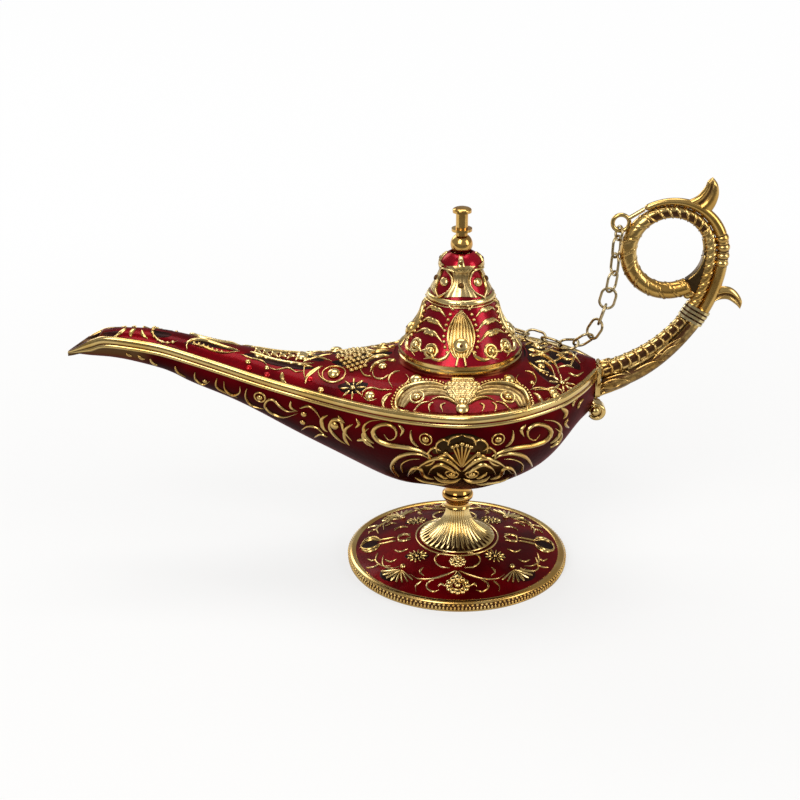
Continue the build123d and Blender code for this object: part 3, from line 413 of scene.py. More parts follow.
class Ornament:
    # One mesh that collects raised work on the surface of the named nodes
    def __init__(self, *names):
        carrier = bmesh.new()
        for name in names:
            carrier.from_mesh(nodes[name].data)
        self.surface = BVHTree.FromBMesh(carrier)
        carrier.free()
        self.shape, self.relief = newShape()

    def finish(self, name, finish, slotName="gold"):
        addCopy(self.shape, mirrorBack)
        finishPiece(self.shape, name, finish)

    def seen(self, *numbers):
        # Points of the surface behind picture places
        hits = [self.surface.ray_cast(eyePoint, way)[0] for way in sightLines(numbers)]
        return [hit for hit in hits if hit is not None]

    def frameAt(self, point, turn=0.0):
        place, normal = self.surface.find_nearest(point)[:2]
        across = Vector((0, 0, 1)).cross(normal)
        if across.length < 1e-4:
            across = Vector((1, 0, 0))
        across.normalize()
        along = normal.cross(across).normalized()
        turned = across * cos(turn) + along * sin(turn)
        return place, turned, normal.cross(turned)

    def ridge(self, points, width, height, taper="round", steps=24, across=6, crown=2.0, ribs=0, ribDepth=0.3,
              tone=1.0):
        # Raised band along the points; a high crown makes it flat, and ribs run along it
        widths = tapers.get(taper, taper)
        line = smoothLine(points, steps)
        closed = (line[0] - line[-1]).length < 1e-7
        rows = []
        for index, point in enumerate(line):
            before = line[index - 1] if index > 0 else line[-2 if closed else 0]
            after = line[index + 1] if index < steps else line[1 if closed else -1]
            normal = self.surface.find_nearest(point)[1]
            rows.append((point, normal.cross((after - before).normalized()).normalized()))
        for vert in bmesh.ops.create_grid(self.shape, x_segments=steps, y_segments=across, size=1)["verts"]:
            share = (vert.co.x + 1) / 2
            side = vert.co.y
            point, sideways = rows[round(share * steps)]
            narrow = valueAt(widths, share * (len(widths) - 1))
            rise = max(0.0, 1 - abs(side) ** crown) ** 0.5
            if ribs:
                rise *= 1 - ribDepth + ribDepth * abs(cos(pi * ribs * side / 2))
            lift = height * mm * rise * min(1.0, narrow * raised["fullHeight"])
            if abs(side) > 0.99:
                lift -= raised["sink"]
            place, normal = self.surface.find_nearest(point + sideways * side * (width * mm) / 2 * narrow)[:2]
            vert.co = place + normal * lift
            # Relief drops to 0 at the edges, where the finish paints patina and painted shade
            vert[self.relief] = tone * rise * min(1.0, raised["tipTone"] + narrow)

    def ball(self, point, radius, rise=0.35, flat=1.0, segments=8, rings=6, tone=raised["ballTone"]):
        radius *= mm
        place, normal = self.surface.find_nearest(point)[:2]
        turn = Vector((0, 0, 1)).rotation_difference(normal).to_matrix().to_4x4()
        middle = place + normal * radius * flat * rise
        seat = Matrix.Translation(middle) @ turn @ Matrix.Diagonal((1, 1, flat, 1))
        addSphere(self.shape, self.relief, seat, radius, segments, rings, tone)

    def ballAt(self, across, down, *sizes, **looks):
        for point in self.seen(across, down):
            self.ball(point, *sizes, **looks)

    def ring(self, point, radius, width, height):
        radius *= mm
        place, across, along = self.frameAt(point)
        loop = [place + across * radius * cos(2 * pi * step / 12) + along * radius * sin(2 * pi * step / 12)
                for step in range(12)]
        self.ridge(loop + [loop[0]], width, height, "even", 28)

    def band(self, radius, level, width, height):
        # Line round a turned surface
        loop = [polar(radius, 15 * step, level) for step in range(24)]
        self.ridge(loop + [loop[0]], width, height, "even", 96)

    def flower(self, across, down, radius, petals, width, turn, inner, heart):
        for point in self.seen(across, down):
            place, side, up = self.frameAt(point, turn)
            for index in range(petals):
                angle = 2 * pi * (index / petals)
                way = (side * sin(angle) + up * cos(angle)) * (radius * mm)
                petal = [place + way * inner, place + way * (inner + 1) / 2, place + way]
                self.ridge(petal, width, 0.5, "leaf", 8, 4)
            self.ball(point, heart, 0.3, 0.7)

    def strokes(self, table, middle=None):
        # Each row: taper, width, height, places
        for taper, width, height, *numbers in table:
            for chosen in bothSides(numbers, middle):
                points = self.seen(*chosen)
                if len(points) > 1:
                    self.ridge(points, width, height, taper)

    def plates(self, table, height, steps, across):
        # Flat grounds; each row: width, places
        for width, *numbers in table:
            points = self.seen(*numbers)
            if len(points) > 2:
                self.ridge(points, width, height, steps=steps, across=across, crown=6)

    def bosses(self, table, middle=None):
        # Each row: place, radius, flatness and, where a ring goes round it, its radius and width
        for across, down, radius, flat, *ringSizes in table:
            for chosen in bothSides((across, down), middle):
                for point in self.seen(*chosen):
                    self.ball(point, radius, 0.25, flat, 12, 8)
                    if ringSizes:
                        self.ring(point, *ringSizes, 0.45)

    def beadLines(self, table, middle=None):
        # Each row: bead radius, pitch, places
        for radius, pitch, *numbers in table:
            for chosen in bothSides(numbers, middle):
                points = self.seen(*chosen)
                if len(points) > 1:
                    line = smoothLine(points, 200)
                    run = 0.0
                    self.ball(line[0], radius)
                    for before, after in zip(line, line[1:]):
                        run += (after - before).length
                        if run >= pitch * mm:
                            run -= pitch * mm
                            self.ball(after, radius)


# Rails along the sheer line: stations as place, half width and height of the sheer line, in millimetres
railStations = [
    (-122.30, 0.508, 72.404), (-120.955, 1.162, 72.843), (-118.020, 2.105, 73.849), (-114.351, 3.303, 75.204),
    (-109.948, 4.392, 76.700), (-101.754, 5.590, 76.249), (-92.459, 6.716, 74.894), (-83.286, 7.986, 72.495),
    (-73.992, 9.293, 69.799), (-61.639, 11.616, 66.406), (-49.165, 15.282, 64.006), (-36.935, 20.582, 62.704),
    (-24.705, 26.681, 62.394), (-12.842, 32.597, 63.052), (0.0, 36.300, 63.800), (10.685, 34.993, 64.200),
    (19.801, 31.000, 64.497), (29.298, 24.103, 64.897), (34.005, 19.384, 65.400), (38.499, 12.995, 65.903),
    (42.400, 4.901, 66.303)]
rail = {
    "steps": 150, "width": 3.9, "taper": 4.0, "ledge": 0.6, "tip": -122.3, "taperRun": 9.0, "least": 0.14,
    "mouthTop": (-110.5, 80.2), "mouthTip": (-122.3, 72.75)}
# Profiles as out and up from the sheer line
mainRailProfile = [
    (-1.1, 0.7), (-1.04, 1.5), (-0.95, 2.05), (-0.72, 2.42), (-0.4, 2.5), (-0.12, 2.38), (0.12, 2.12),
    (0.24, 1.7), (0.28, 1.2), (0.24, 0.7), (0.12, 0.35), (-0.1, 0.12), (-0.16, 0.0)]
lowerRailProfile = [
    (-0.12, 0.02), (0.1, -0.08), (0.26, -0.32), (0.32, -0.62), (0.26, -0.92), (0.08, -1.18), (-0.2, -1.34),
    (-0.6, -1.4)]
railLine = smoothLine([Vector(row) * mm for row in railStations], rail["steps"])


def makeRail(name, profile, fillsLedge):
    shape = bmesh.new()
    last, rows = rail["steps"], len(profile) - 1
    (topX, topZ), (tipX, tipZ) = rail["mouthTop"], rail["mouthTip"]
    for vert in bmesh.ops.create_grid(shape, x_segments=last, y_segments=rows, size=1)["verts"]:
        index = round((vert.co.x + 1) / 2 * last)
        point = railLine[index]
        way = railLine[min(index + 1, last)] - railLine[max(index - 1, 0)]
        half = point.y / mm
        outward, up = profile[round((vert.co.y + 1) / 2 * rows)]
        thin = min(1.0, rail["least"] + (point.x / mm - rail["tip"]) / rail["taperRun"])
        outward, up = outward * (thin if outward > 0 else 1.0), up * thin
        if outward < 0 and fillsLedge:
            outward *= rail["width"] * half / (half + rail["taper"]) * rail["ledge"]
        vert.co = point + Vector((-way.y, way.x, 0)).normalized() * outward * mm + Vector((0, 0, up * mm))
        vert.co.y = max(vert.co.y, 0.0)
        if point.x < topX * mm:
            vert.co.z = min(vert.co.z, (tipZ + (topZ - tipZ) * (point.x / mm - tipX) / (topX - tipX)) * mm)
    bmesh.ops.reverse_faces(shape, faces=shape.faces)
    addCopy(shape, mirrorBack)
    closeSeams(shape, 0.00001)
    finishPiece(shape, name, "polishedGold")


makeRail("mainRail", mainRailProfile, True)
makeRail("lowerRail", lowerRailProfile, False)


# Turned work: a profile of radii and heights in millimetres, spun about the upright axis
def turned(profile, steps, shaper):
    # The shaper gives each vertex its relief
    shape, relief = newShape()
    verts = [shape.verts.new((radius * mm, 0, height * mm)) for radius, height in profile]
    edges = [shape.edges.new(pair) for pair in zip(verts, verts[1:])]
    bmesh.ops.spin(shape, geom=verts + edges, axis=(0, 0, 1), cent=(0, 0, 0), angle=2 * pi, steps=steps,
                   use_merge=True)
    closeSeams(shape, 0.000005)
    for vert in shape.verts:
        vert[relief] = shaper(vert)
    return shape, relief


# Bell: flutes from the neck down to the lip, on a flare with four Bezier stops
bell = {"flutes": 36, "depth": 0.09, "crest": 1.1, "from": 8.3, "fade": 0.6, "grooveTone": 0.1,
        "crestTone": 0.95, "toneCurve": 0.6, "steps": 18,
        "stops": [(11.9, 8.4), (7.4, 10.34), (3.6, 13.87), (3.6, 19.0)]}


def bellCurve(share):
    keep = 1 - share
    weights = (keep ** 3, 3 * keep * keep * share, 3 * keep * share * share, share ** 3)
    return tuple(sum(weight * stop[axis] for weight, stop in zip(weights, bell["stops"])) for axis in (0, 1))


def fluteBell(vert):
    height = vert.co.z / mm
    if height < bell["from"]:
        return 1.0
    wave = abs(sin(atan2(vert.co.y, vert.co.x) * bell["flutes"] / 2))
    depth = bell["depth"] * min(1.0, (height - bell["from"]) / bell["fade"])
    swell = 1 - depth + depth * wave * bell["crest"]
    vert.co.x *= swell
    vert.co.y *= swell
    # Low relief in the grooves: dark patina and painted shade between the flute crests
    return bell["grooveTone"] + bell["crestTone"] * wave ** bell["toneCurve"]


bellProfile = [(0.0, 7.62), (11.8, 7.62), (12.2, 7.75), (12.25, 8.0), (12.1, 8.25)]
bellProfile += [bellCurve(step / bell["steps"]) for step in range(bell["steps"] + 1)] + [(0.0, 18.98)]
finishPiece(turned(bellProfile, 400, fluteBell)[0], "flutedBell", "silverGold", replaced=("stem_bell",))

# Foot's edge: a polished line, a row of beads and a row of upright reeds, on a band painted dark as patina
# and shade
footBand = {"radius": 35.45, "dark": (0.4, 2.7), "darkTone": 0.1, "beadTone": 0.9}
bandRows = [(150, 2.2, 0.9, 0.52), (190, 1.0, 1.7, 0.42)]  # count, level, stretch, radius
bandProfile = [
    (33.2, 3.0), (33.75, 3.28), (34.2, 3.36), (34.7, 3.25), (35.1, 3.0), (35.45, 2.75), (35.43, 2.6),
    (35.43, 0.5), (35.55, 0.38), (35.55, 0.02), (34.0, 0.02)]


def bandTone(vert):
    low, high = footBand["dark"]
    return footBand["darkTone"] if low * mm < vert.co.z < high * mm else 1.0


shape, relief = turned(bandProfile, 180, bandTone)
for count, level, stretch, radius in bandRows:
    for index in range(count):
        place = polar(footBand["radius"], 360 * index / count, level)
        seat = Matrix.Translation(place) @ Matrix.Diagonal((1, 1, stretch, 1))
        addSphere(shape, relief, seat, radius * mm, 6, 5, footBand["beadTone"])
finishPiece(shape, "footBand", "antiqueGold")

# Handle: the course of its strands as in the frame, in millimetres and degrees
handle = {
    "start": (41.4, 65.603), "arcs": ((59.4, 12.4), (42.2, 28.8), (37.8, 34.2), (12.5, 304.0)),
    "armAngle": 14.6, "neckHeading": 56.0, "curlHeading": 90.0, "rootFace": 43.5, "endRound": 1.2,
    "innerRadii": (2.5, 1.85, 2.6), "innerSwell": (60.0, 200.0),
    "outerRadii": (2.6, 1.9, 1.0), "outerSwell": (0.0, 122.0), "gap": 0.05,
    "bindingHeading": 59.7, "bindingHalf": 2.9, "sleeve": 0.22}


def eased(low, high, share):
    held = min(1.0, max(0.0, share))
    return low + (high - low) * held * held * (3 - 2 * held)


def courseAt(run):
    # Place in X and Z and the heading after a run along the handle
    x, z = handle["start"]
    heading = handle["armAngle"]
    for radius, turn in handle["arcs"]:
        part = min(run, radius * radians(turn))
        after = heading + part / radius * 180 / pi
        x += radius * (sin(radians(after)) - sin(radians(heading)))
        z += radius * (cos(radians(heading)) - cos(radians(after)))
        heading = after
        run -= part
        if run <= 0:
            break
    return x, z, heading


def runTo(heading):
    start = handle["armAngle"]
    run = 0.0
    for radius, turn in handle["arcs"]:
        part = min(heading - start, turn)
        run += radius * radians(part)
        start += part
        if start >= heading:
            break
    return run


def radiusAt(which, heading):
    root, neck, end = handle[which + "Radii"]
    first, last = handle[which + "Swell"]
    start, curl = handle["armAngle"], handle["curlHeading"]
    if heading < curl:
        return eased(root, neck, (heading - start) / (handle["neckHeading"] - start))
    return eased(neck, end, (heading - curl - first) / (last - first))


def offsetAt(which, heading):
    # The inner strand follows the course, and the outer one lies against it
    if which == "inner":
        return 0.0
    return radiusAt("inner", heading) + radiusAt("outer", heading) + handle["gap"]


def strand(which, first, last, steps, around, shaper, extra=0.0):
    # Tube along the course; the shaper gives its change of radius and its relief
    shape, relief = newShape()
    for vert in bmesh.ops.create_grid(shape, x_segments=steps, y_segments=around, size=1)["verts"]:
        run = first + (last - first) * (vert.co.x + 1) / 2
        angle = pi * (vert.co.y + 1)
        x, z, heading = courseAt(run)
        out = Vector((sin(radians(heading)), 0, -cos(radians(heading))))
        change, value = shaper(run, angle, 180 - abs(180 - angle * 180 / pi))
        close = min(1.0, (last - run) / handle["endRound"], 1.0 if run > first else 0.0)
        radius = (radiusAt(which, heading) + extra + change) * max(0.0, 1 - (1 - close) ** 2) ** 0.5
        side = out * cos(angle) - Vector((0, 1, 0)) * sin(angle)
        vert.co = (Vector((x, 0, z)) + out * offsetAt(which, heading) + side * radius) * mm
        vert[relief] = value
    closeSeams(shape, 0.000004)
    return shape


# Inner strand: a ladder of sunk panels on the arm and the top, twisted lines on the left and below; panels
# and grooves are darkened as patina and painted shade
twist = {
    "lines": 2, "pitches": ((0.0, 3.0), (52.0, 3.0), (56.0, 2.7), (78.0, 2.7), (88.0, 4.4), (124.0, 4.4)),
    "line": 0.2, "lineWidth": 0.26, "groove": 0.16, "grooveAt": 0.55, "grooveHalf": 0.3,
    "tilt": 0.18, "tiltAt": 30, "panel": 0.36, "panelMiddle": 104.0, "panelHalf": 40.0, "panelEdge": 7,
    "bar": 0.36, "barEdge": 0.22,
    "top": (125, 215), "tone": 0.72, "lineTone": 0.28, "grooveTone": 0.55, "panelTone": 0.97}
phases = {"perMillimetre": 10, "step": 0.1, "count": 1300}
bindingRun = runTo(handle["bindingHeading"])
topStart, topEnd = (runTo(heading) for heading in twist["top"])


def pitchAt(run):
    stops = twist["pitches"]
    for (start, low), (end, high) in zip(stops, stops[1:]):
        if run <= end:
            return low + (high - low) * (run - start) / (end - start)
    return stops[-1][1]


phaseTable = [0.0]
for step in range(phases["count"]):
    phaseTable.append(phaseTable[-1] + phases["step"] / pitchAt(step * phases["step"]))


def innerShape(run, angle, fold):
    phase = valueAt(phaseTable, run * phases["perMillimetre"])
    if run < bindingRun:
        phase += twist["tilt"] * cos(radians(fold * 2 - twist["tiltAt"]))
    else:
        phase += twist["lines"] * angle / (2 * pi)
    off = abs(phase - round(phase)) * pitchAt(run)
    line = max(0.0, 1 - (off / twist["lineWidth"]) ** 2)
    beside = max(0.0, 1 - abs(off - twist["grooveAt"]) / twist["grooveHalf"])
    sunk = 0.0
    if run < bindingRun or topStart < run < topEnd:
        edge = (twist["panelHalf"] - abs(fold - twist["panelMiddle"])) / twist["panelEdge"]
        barEdge = (off - twist["bar"]) / twist["barEdge"]
        sunk = min(1.0, max(0.0, edge)) * min(1.0, max(0.0, barEdge))
    change = twist["line"] * line - twist["groove"] * beside - twist["panel"] * sunk
    value = twist["tone"] + twist["lineTone"] * line - twist["grooveTone"] * beside
    return change, min(value, 1 - twist["panelTone"] * sunk)


strandStart = next(step * 0.1 for step in range(60) if courseAt(step * 0.1)[0] > handle["rootFace"])
innerEnd = runTo(handle["curlHeading"] + handle["arcs"][-1][1])
finishPiece(strand("inner", strandStart, innerEnd, 900, 28, innerShape), "ribbedStrand", "antiqueGold",
            replaced=("handle_inner_strand",))

# Outer strand: smooth, with a fine groove on each side and four bands beside the ring; the groove and the
# band edges are darkened as patina and painted shade
smooth = {
    "armTone": 0.34, "ringTone": 0.92, "ringHeading": 55, "grooveAt": 128, "grooveHalf": 9, "groove": 0.22,
    "grooveTone": 0.85, "bandStart": -3.3, "bandPitch": 2.2, "bands": 4, "band": 0.24, "bandHalf": 0.62,
    "edge": 0.1, "edgeEnd": 0.95, "edgeTone": 0.12}
ringRun, curlRun = runTo(smooth["ringHeading"]), runTo(handle["curlHeading"])
bandRuns = [curlRun + smooth["bandStart"] + smooth["bandPitch"] * step for step in range(smooth["bands"])]


def outerShape(run, angle, fold):
    groove = max(0.0, 1 - (abs(fold - smooth["grooveAt"]) / smooth["grooveHalf"]) ** 2)
    change = -smooth["groove"] * groove
    value = smooth["ringTone" if run > ringRun else "armTone"] - smooth["grooveTone"] * groove
    for middle in bandRuns:
        off = abs(run - middle)
        if off < smooth["bandHalf"]:
            change, value = smooth["band"] * (1 - (off / smooth["bandHalf"]) ** 2), 1.0
        elif off < smooth["edgeEnd"]:
            change, value = -smooth["edge"], smooth["edgeTone"]
    return change, value


outerEnd = runTo(handle["curlHeading"] + handle["outerSwell"][1])
finishPiece(strand("outer", strandStart, outerEnd, 420, 24, outerShape), "smoothStrand", "antiqueGold",
            replaced=("handle_outer_strand",))

# Leaves of the handle, between two edges in the picture, with a groove along the middle darkened as patina
# and painted shade
leaf = {"steps": 48, "around": 40, "grooveHalf": 0.42, "grooveDepth": 0.55, "grooveTone": 0.8,
        "thickShare": 0.42, "tipSteps": 10}
leafTable = [
    # name, replaced nodes, thickness, place of the groove, outer edge, inner edge
    ("topHorn", ("handle_top_leaf",), 3.0, -0.25, (686, 201, 697, 196, 705, 187, 708, 181, 713, 177),
     (711, 212, 716, 204, 719, 194, 718, 184, 713, 177)),
    ("sideHorn", ("handle_side_leaf",), 3.0, 0.0, (721, 286, 730, 287, 737, 292, 742, 301, 740, 309),
     (706, 309, 715, 301, 726, 299, 735, 304, 740, 309)),
    ("rootLeaf", (), 4.6, 0.1, (594, 384, 604, 381, 616, 379, 630, 378, 640, 376),
     (594, 399, 602, 395, 613, 391, 627, 385, 640, 376)),
]


def onMiddle(*numbers):
    # Points on the lamp's middle plane behind picture places
    return [eyePoint - way * (eyePoint.y / way.y) for way in sightLines(numbers)]


for name, replaced, thick, grooveAt, leftEdge, rightEdge in leafTable:
    steps = leaf["steps"]
    left, right = smoothLine(onMiddle(*leftEdge), steps), smoothLine(onMiddle(*rightEdge), steps)
    shape, relief = newShape()
    for vert in bmesh.ops.create_grid(shape, x_segments=steps, y_segments=leaf["around"], size=1)["verts"]:
        index = round((vert.co.x + 1) / 2 * steps)
        angle = pi * vert.co.y
        across = cos(angle)
        groove = max(0.0, 1 - ((across - grooveAt) / leaf["grooveHalf"]) ** 2)
        full = min(thick * mm / 2, (left[index] - right[index]).length * leaf["thickShare"])
        hollow = 1 - leaf["grooveDepth"] * groove * abs(sin(angle))
        middle = left[index].lerp(right[index], (across + 1) / 2)
        vert.co = middle + Vector((0, 1, 0)) * sin(angle) * full * hollow
        vert[relief] = 1.0 - leaf["grooveTone"] * groove * min(1.0, (steps - index) / leaf["tipSteps"])
    closeSeams(shape, 0.000004)
    finishPiece(shape, name, "antiqueGold", replaced=replaced)

# Work on the handle: leaves on the arm, the web's rim, and the ball that closes the curl
arm = Ornament("handle_outer_strand", "handle_inner_strand", "handle_root", "handle_web")
arm.strokes([
    ("tail", 0.9, 0.5, 652, 361, 660, 352, 670, 344, 681, 338),
    ("tail", 0.7, 0.45, 660, 357, 668, 349, 676, 345, 686, 341),
    ("tail", 0.8, 0.5, 640, 362, 650, 356, 661, 354, 669, 354),
    ("even", 0.55, 0.5, 628, 368, 640, 362, 652, 356, 660, 349, 668, 342),
    ("tail", 0.8, 0.5, 634, 371, 645, 365, 656, 361, 664, 360),
    ("tail", 0.8, 0.5, 612, 372, 622, 371, 632, 374, 641, 379),
    ("tail", 0.9, 0.5, 606, 379, 618, 375, 630, 374),
    ("tail", 0.9, 0.55, 602, 384, 612, 380, 622, 379, 630, 381),
    ("tail", 1.0, 0.6, 600, 390, 608, 387, 616, 386, 622, 383),
    ("leaf", 0.8, 0.5, 600, 364, 606, 362, 612, 362),
    ("leaf", 1.3, 0.6, 597, 367, 598, 377, 597, 388),
    ("leaf", 1.2, 0.6, 594, 362, 600, 367, 607, 371),
    ("leaf", 1.2, 0.6, 593, 390, 600, 385, 608, 383),
    ("leaf", 0.8, 0.5, 601, 373, 606, 369, 612, 367),
    ("even", 0.45, 0.4, 704, 240, 705, 250, 703, 261, 697, 272, 689, 279),
])
addCopy(arm.shape, mirrorBack)
curlBall = Matrix.Translation(onMiddle(690.5, 293)[0])
addSphere(arm.shape, arm.relief, curlBall, 1.5 * mm, 18, 12, 1.0)
finishPiece(arm.shape, "armOrnament", "reliefGold")

# Sleeves under the wire binding, painted dark as shade in the gaps between the bands
first, last = bindingRun - handle["bindingHalf"], bindingRun + handle["bindingHalf"]
for name, which in (("bindingInnerSleeve", "inner"), ("bindingOuterSleeve", "outer")):
    # Relief 0 everywhere, so the finish paints the sleeve dark: painted shade
    sleeve = strand(which, first, last, 8, 20, lambda *spot: (0.0, 0.0), handle["sleeve"])
    finishPiece(sleeve, name, "antiqueGold")

stern = Ornament("stern_scroll")
for point in stern.seen(595, 411):
    stern.ring(point, 2.25, 0.9, 0.7)
    stern.ball(point, 1.55, 0.25, 0.8, 18, 12, tone=1.0)
stern.finish("sternVolute", "reliefGold")

# Lid: four fields alike, each with a teardrop shell, feathers, volutes and an hourglass plate
lid = Ornament("lid_cone")
lidMiddle = 461
lid.ridge(lid.seen(461, 250, 461, 258, 461, 267), 3.0, 0.6, (0.3, 0.5, 1.0), crown=4)
lid.ridge(lid.seen(461, 266, 461, 272, 461, 280, 461, 288, 461, 297), 13.0, 0.5,
          (1.0, 0.8, 0.62, 0.5, 0.43, 0.4, 0.43, 0.5, 0.64, 0.84, 1.0), 36, 24, 8, ribs=5, tone=0.5)
lid.ridge(lid.seen(461, 310, 461, 320, 461, 333, 461, 346, 461, 358), 8.0, 0.5,
          (0.06, 0.45, 0.78, 0.96, 1.0, 0.5), 30, 48, 8, ribs=7, ribDepth=0.88)
lid.strokes([
    ("tail", 1.7, 0.6, 432, 309, 440, 310, 446, 317),
    ("tail", 1.8, 0.6, 428, 321, 437, 322, 444, 330),
    ("tail", 1.9, 0.6, 424, 333, 434, 333, 442, 342),
    ("tail", 1.5, 0.6, 422, 352, 417, 347, 412, 350, 415, 356),
    ("round", 1.4, 0.65, 430, 358, 438, 360, 446, 357, 450, 350),
    ("round", 0.8, 0.4, 438, 302, 447, 303, 452, 310),
    ("round", 0.85, 0.85, 461, 310, 455, 317, 450, 327, 448, 338, 450, 348, 455, 355),
    ("even", 0.9, 0.5, 458, 357, 456, 366),
    ("even", 0.7, 0.8, 440, 267, 448, 270, 452, 277, 452, 286, 447, 293, 438, 298),
], lidMiddle)
lid.strokes([
    ("even", 0.9, 0.55, 461, 357, 461, 367),
])
lid.beadLines([
    (0.58, 1.75, 453, 309, 449, 318, 446, 327, 444, 337, 445, 347, 449, 356),
    (0.5, 1.2, 457, 303, 453, 307),
], lidMiddle)
lid.bosses([(461, 346, 2.5, 0.5), (461, 305, 0.55, 0.9)])
lid.bosses([(445, 282, 1.45, 0.45), (431, 351, 1.35, 0.7, 1.95, 1.2)], lidMiddle)
for down, radius, rise, flat in ((264, 0.75, 0.55, 0.7), (286, 1.0, 0.55, 0.7), (347, 0.6, 6.0, 0.4)):
    lid.ballAt(lidMiddle, down, radius, rise, flat, tone=0.0)
for turn in (90, 180):
    addCopy(lid.shape, Matrix.Rotation(radians(turn), 4, "Z"))
for level, width, height in ((101.6, 0.7, 0.5), (92.9, 2.3, 0.6), (91.3, 0.5, 0.4)):
    lid.band(12, level, width, height)
finishPiece(lid.shape, "lidOrnament", "silverGold", "lid")

# Deck: dark grounds under the finest work, and red stones
grounds = Ornament("deck")
grounds.plates([
    (2.2, 103, 334, 112, 334, 122, 332),
    (3.2, 150, 331, 160, 334, 172, 335),
    (2.6, 184, 343, 200, 343, 218, 346, 238, 351),
    (4.6, 244, 354, 262, 358, 280, 362, 300, 366, 314, 368),
    (3.4, 300, 357, 312, 358, 324, 361),
    (6.6, 332, 362, 350, 362, 372, 357, 392, 352),
    (5.0, 338, 386, 353, 388, 368, 384),
    (5.4, 524, 350, 536, 362, 548, 376, 560, 386),
    (5.4, 548, 352, 566, 360, 580, 370),
    (4.0, 532, 352, 548, 350, 562, 354),
], 0.10, 30, 12)
grounds.finish("deckGrounds", "blackGround", "enamel")

gems = Ornament("deck")
for across, down, radius, flat in ((249, 368, 1.0, 0.55), (267, 375, 1.0, 0.55), (310, 379, 1.1, 0.4)):
    gems.ballAt(across, down, radius, 0.2, flat, 14, 10)
gems.finish("deckStones", "gemRed", "enamel")

# Deck: the winged shell under the lid, and the scrolls and flowers along the spout
deck = Ornament("deck")
deckMiddle = 462.5
scaleRows = ((380, 9), (384, 15), (388, 17), (392, 15), (396, 11), (400, 7))  # down, half width
for row, (down, half) in enumerate(scaleRows):
    for step in range(-4, 5):
        across = deckMiddle + half * (step + (0.5 if row % 2 else 0)) / 4
        if abs(across - deckMiddle) <= half:
            deck.ballAt(across, down, 0.95, 0.75, 0.5, tone=0.46)
deck.ridge(deck.seen(deckMiddle, 379, deckMiddle, 386, deckMiddle, 394, deckMiddle, 405), 11.6, 0.75,
           (0.45, 1.0, 0.9, 0.35), 24, 24, 5, ribs=6, tone=0.4)
for wing in bothSides((455, 401, 447, 393, 437, 390, 426, 390, 415, 392, 406, 398, 401, 407), deckMiddle):
    deck.ridge(deck.seen(*wing), 5.0, 0.5, "wing", 36, 24, 3, ribs=3, ribDepth=0.45, tone=0.4)
deck.strokes([
    ("tail", 1.3, 0.9, 457, 399, 452, 391, 445, 386),
    ("round", 1.5, 0.9, 449, 389, 440, 385, 426, 383, 413, 385, 403, 390, 398, 397, 396, 405, 399, 411, 409,
     411),
    ("tail", 1.0, 0.8, 456, 404, 448, 399, 438, 398, 430, 401),
    ("leaf", 0.7, 0.5, 430, 412, 429, 406, 434, 402),
    ("leaf", 0.7, 0.5, 443, 412, 441, 406, 446, 403),
    ("round", 0.6, 0.5, 413, 411, 421, 404, 430, 402),
    ("leaf", 1.5, 0.6, 392, 393, 386, 397, 383, 403, 385, 409),
    ("round", 0.6, 0.5, 362, 397, 364, 391, 372, 388, 381, 390, 392, 390),
    ("round", 0.5, 0.4, 363, 397, 369, 401, 377, 399),
    ("round", 0.6, 0.5, 393, 388, 389, 381, 392, 374, 400, 371),
    ("tail", 0.6, 0.5, 404, 386, 409, 380, 406, 374),
], deckMiddle)
deck.bosses([(417, 397, 1.25, 0.75, 2.1, 0.9), (416, 380, 1.9, 0.6), (370, 396, 1.6, 0.6)], deckMiddle)
deck.bosses([(deckMiddle, 409, 2.1, 0.5), (deckMiddle, 402, 1.5, 0.8)])
deck.beadLines([
    (0.42, 1.1, 449, 386, 440, 382, 426, 380, 412, 382, 400, 388, 394, 397, 392, 405, 396, 411),
], deckMiddle)
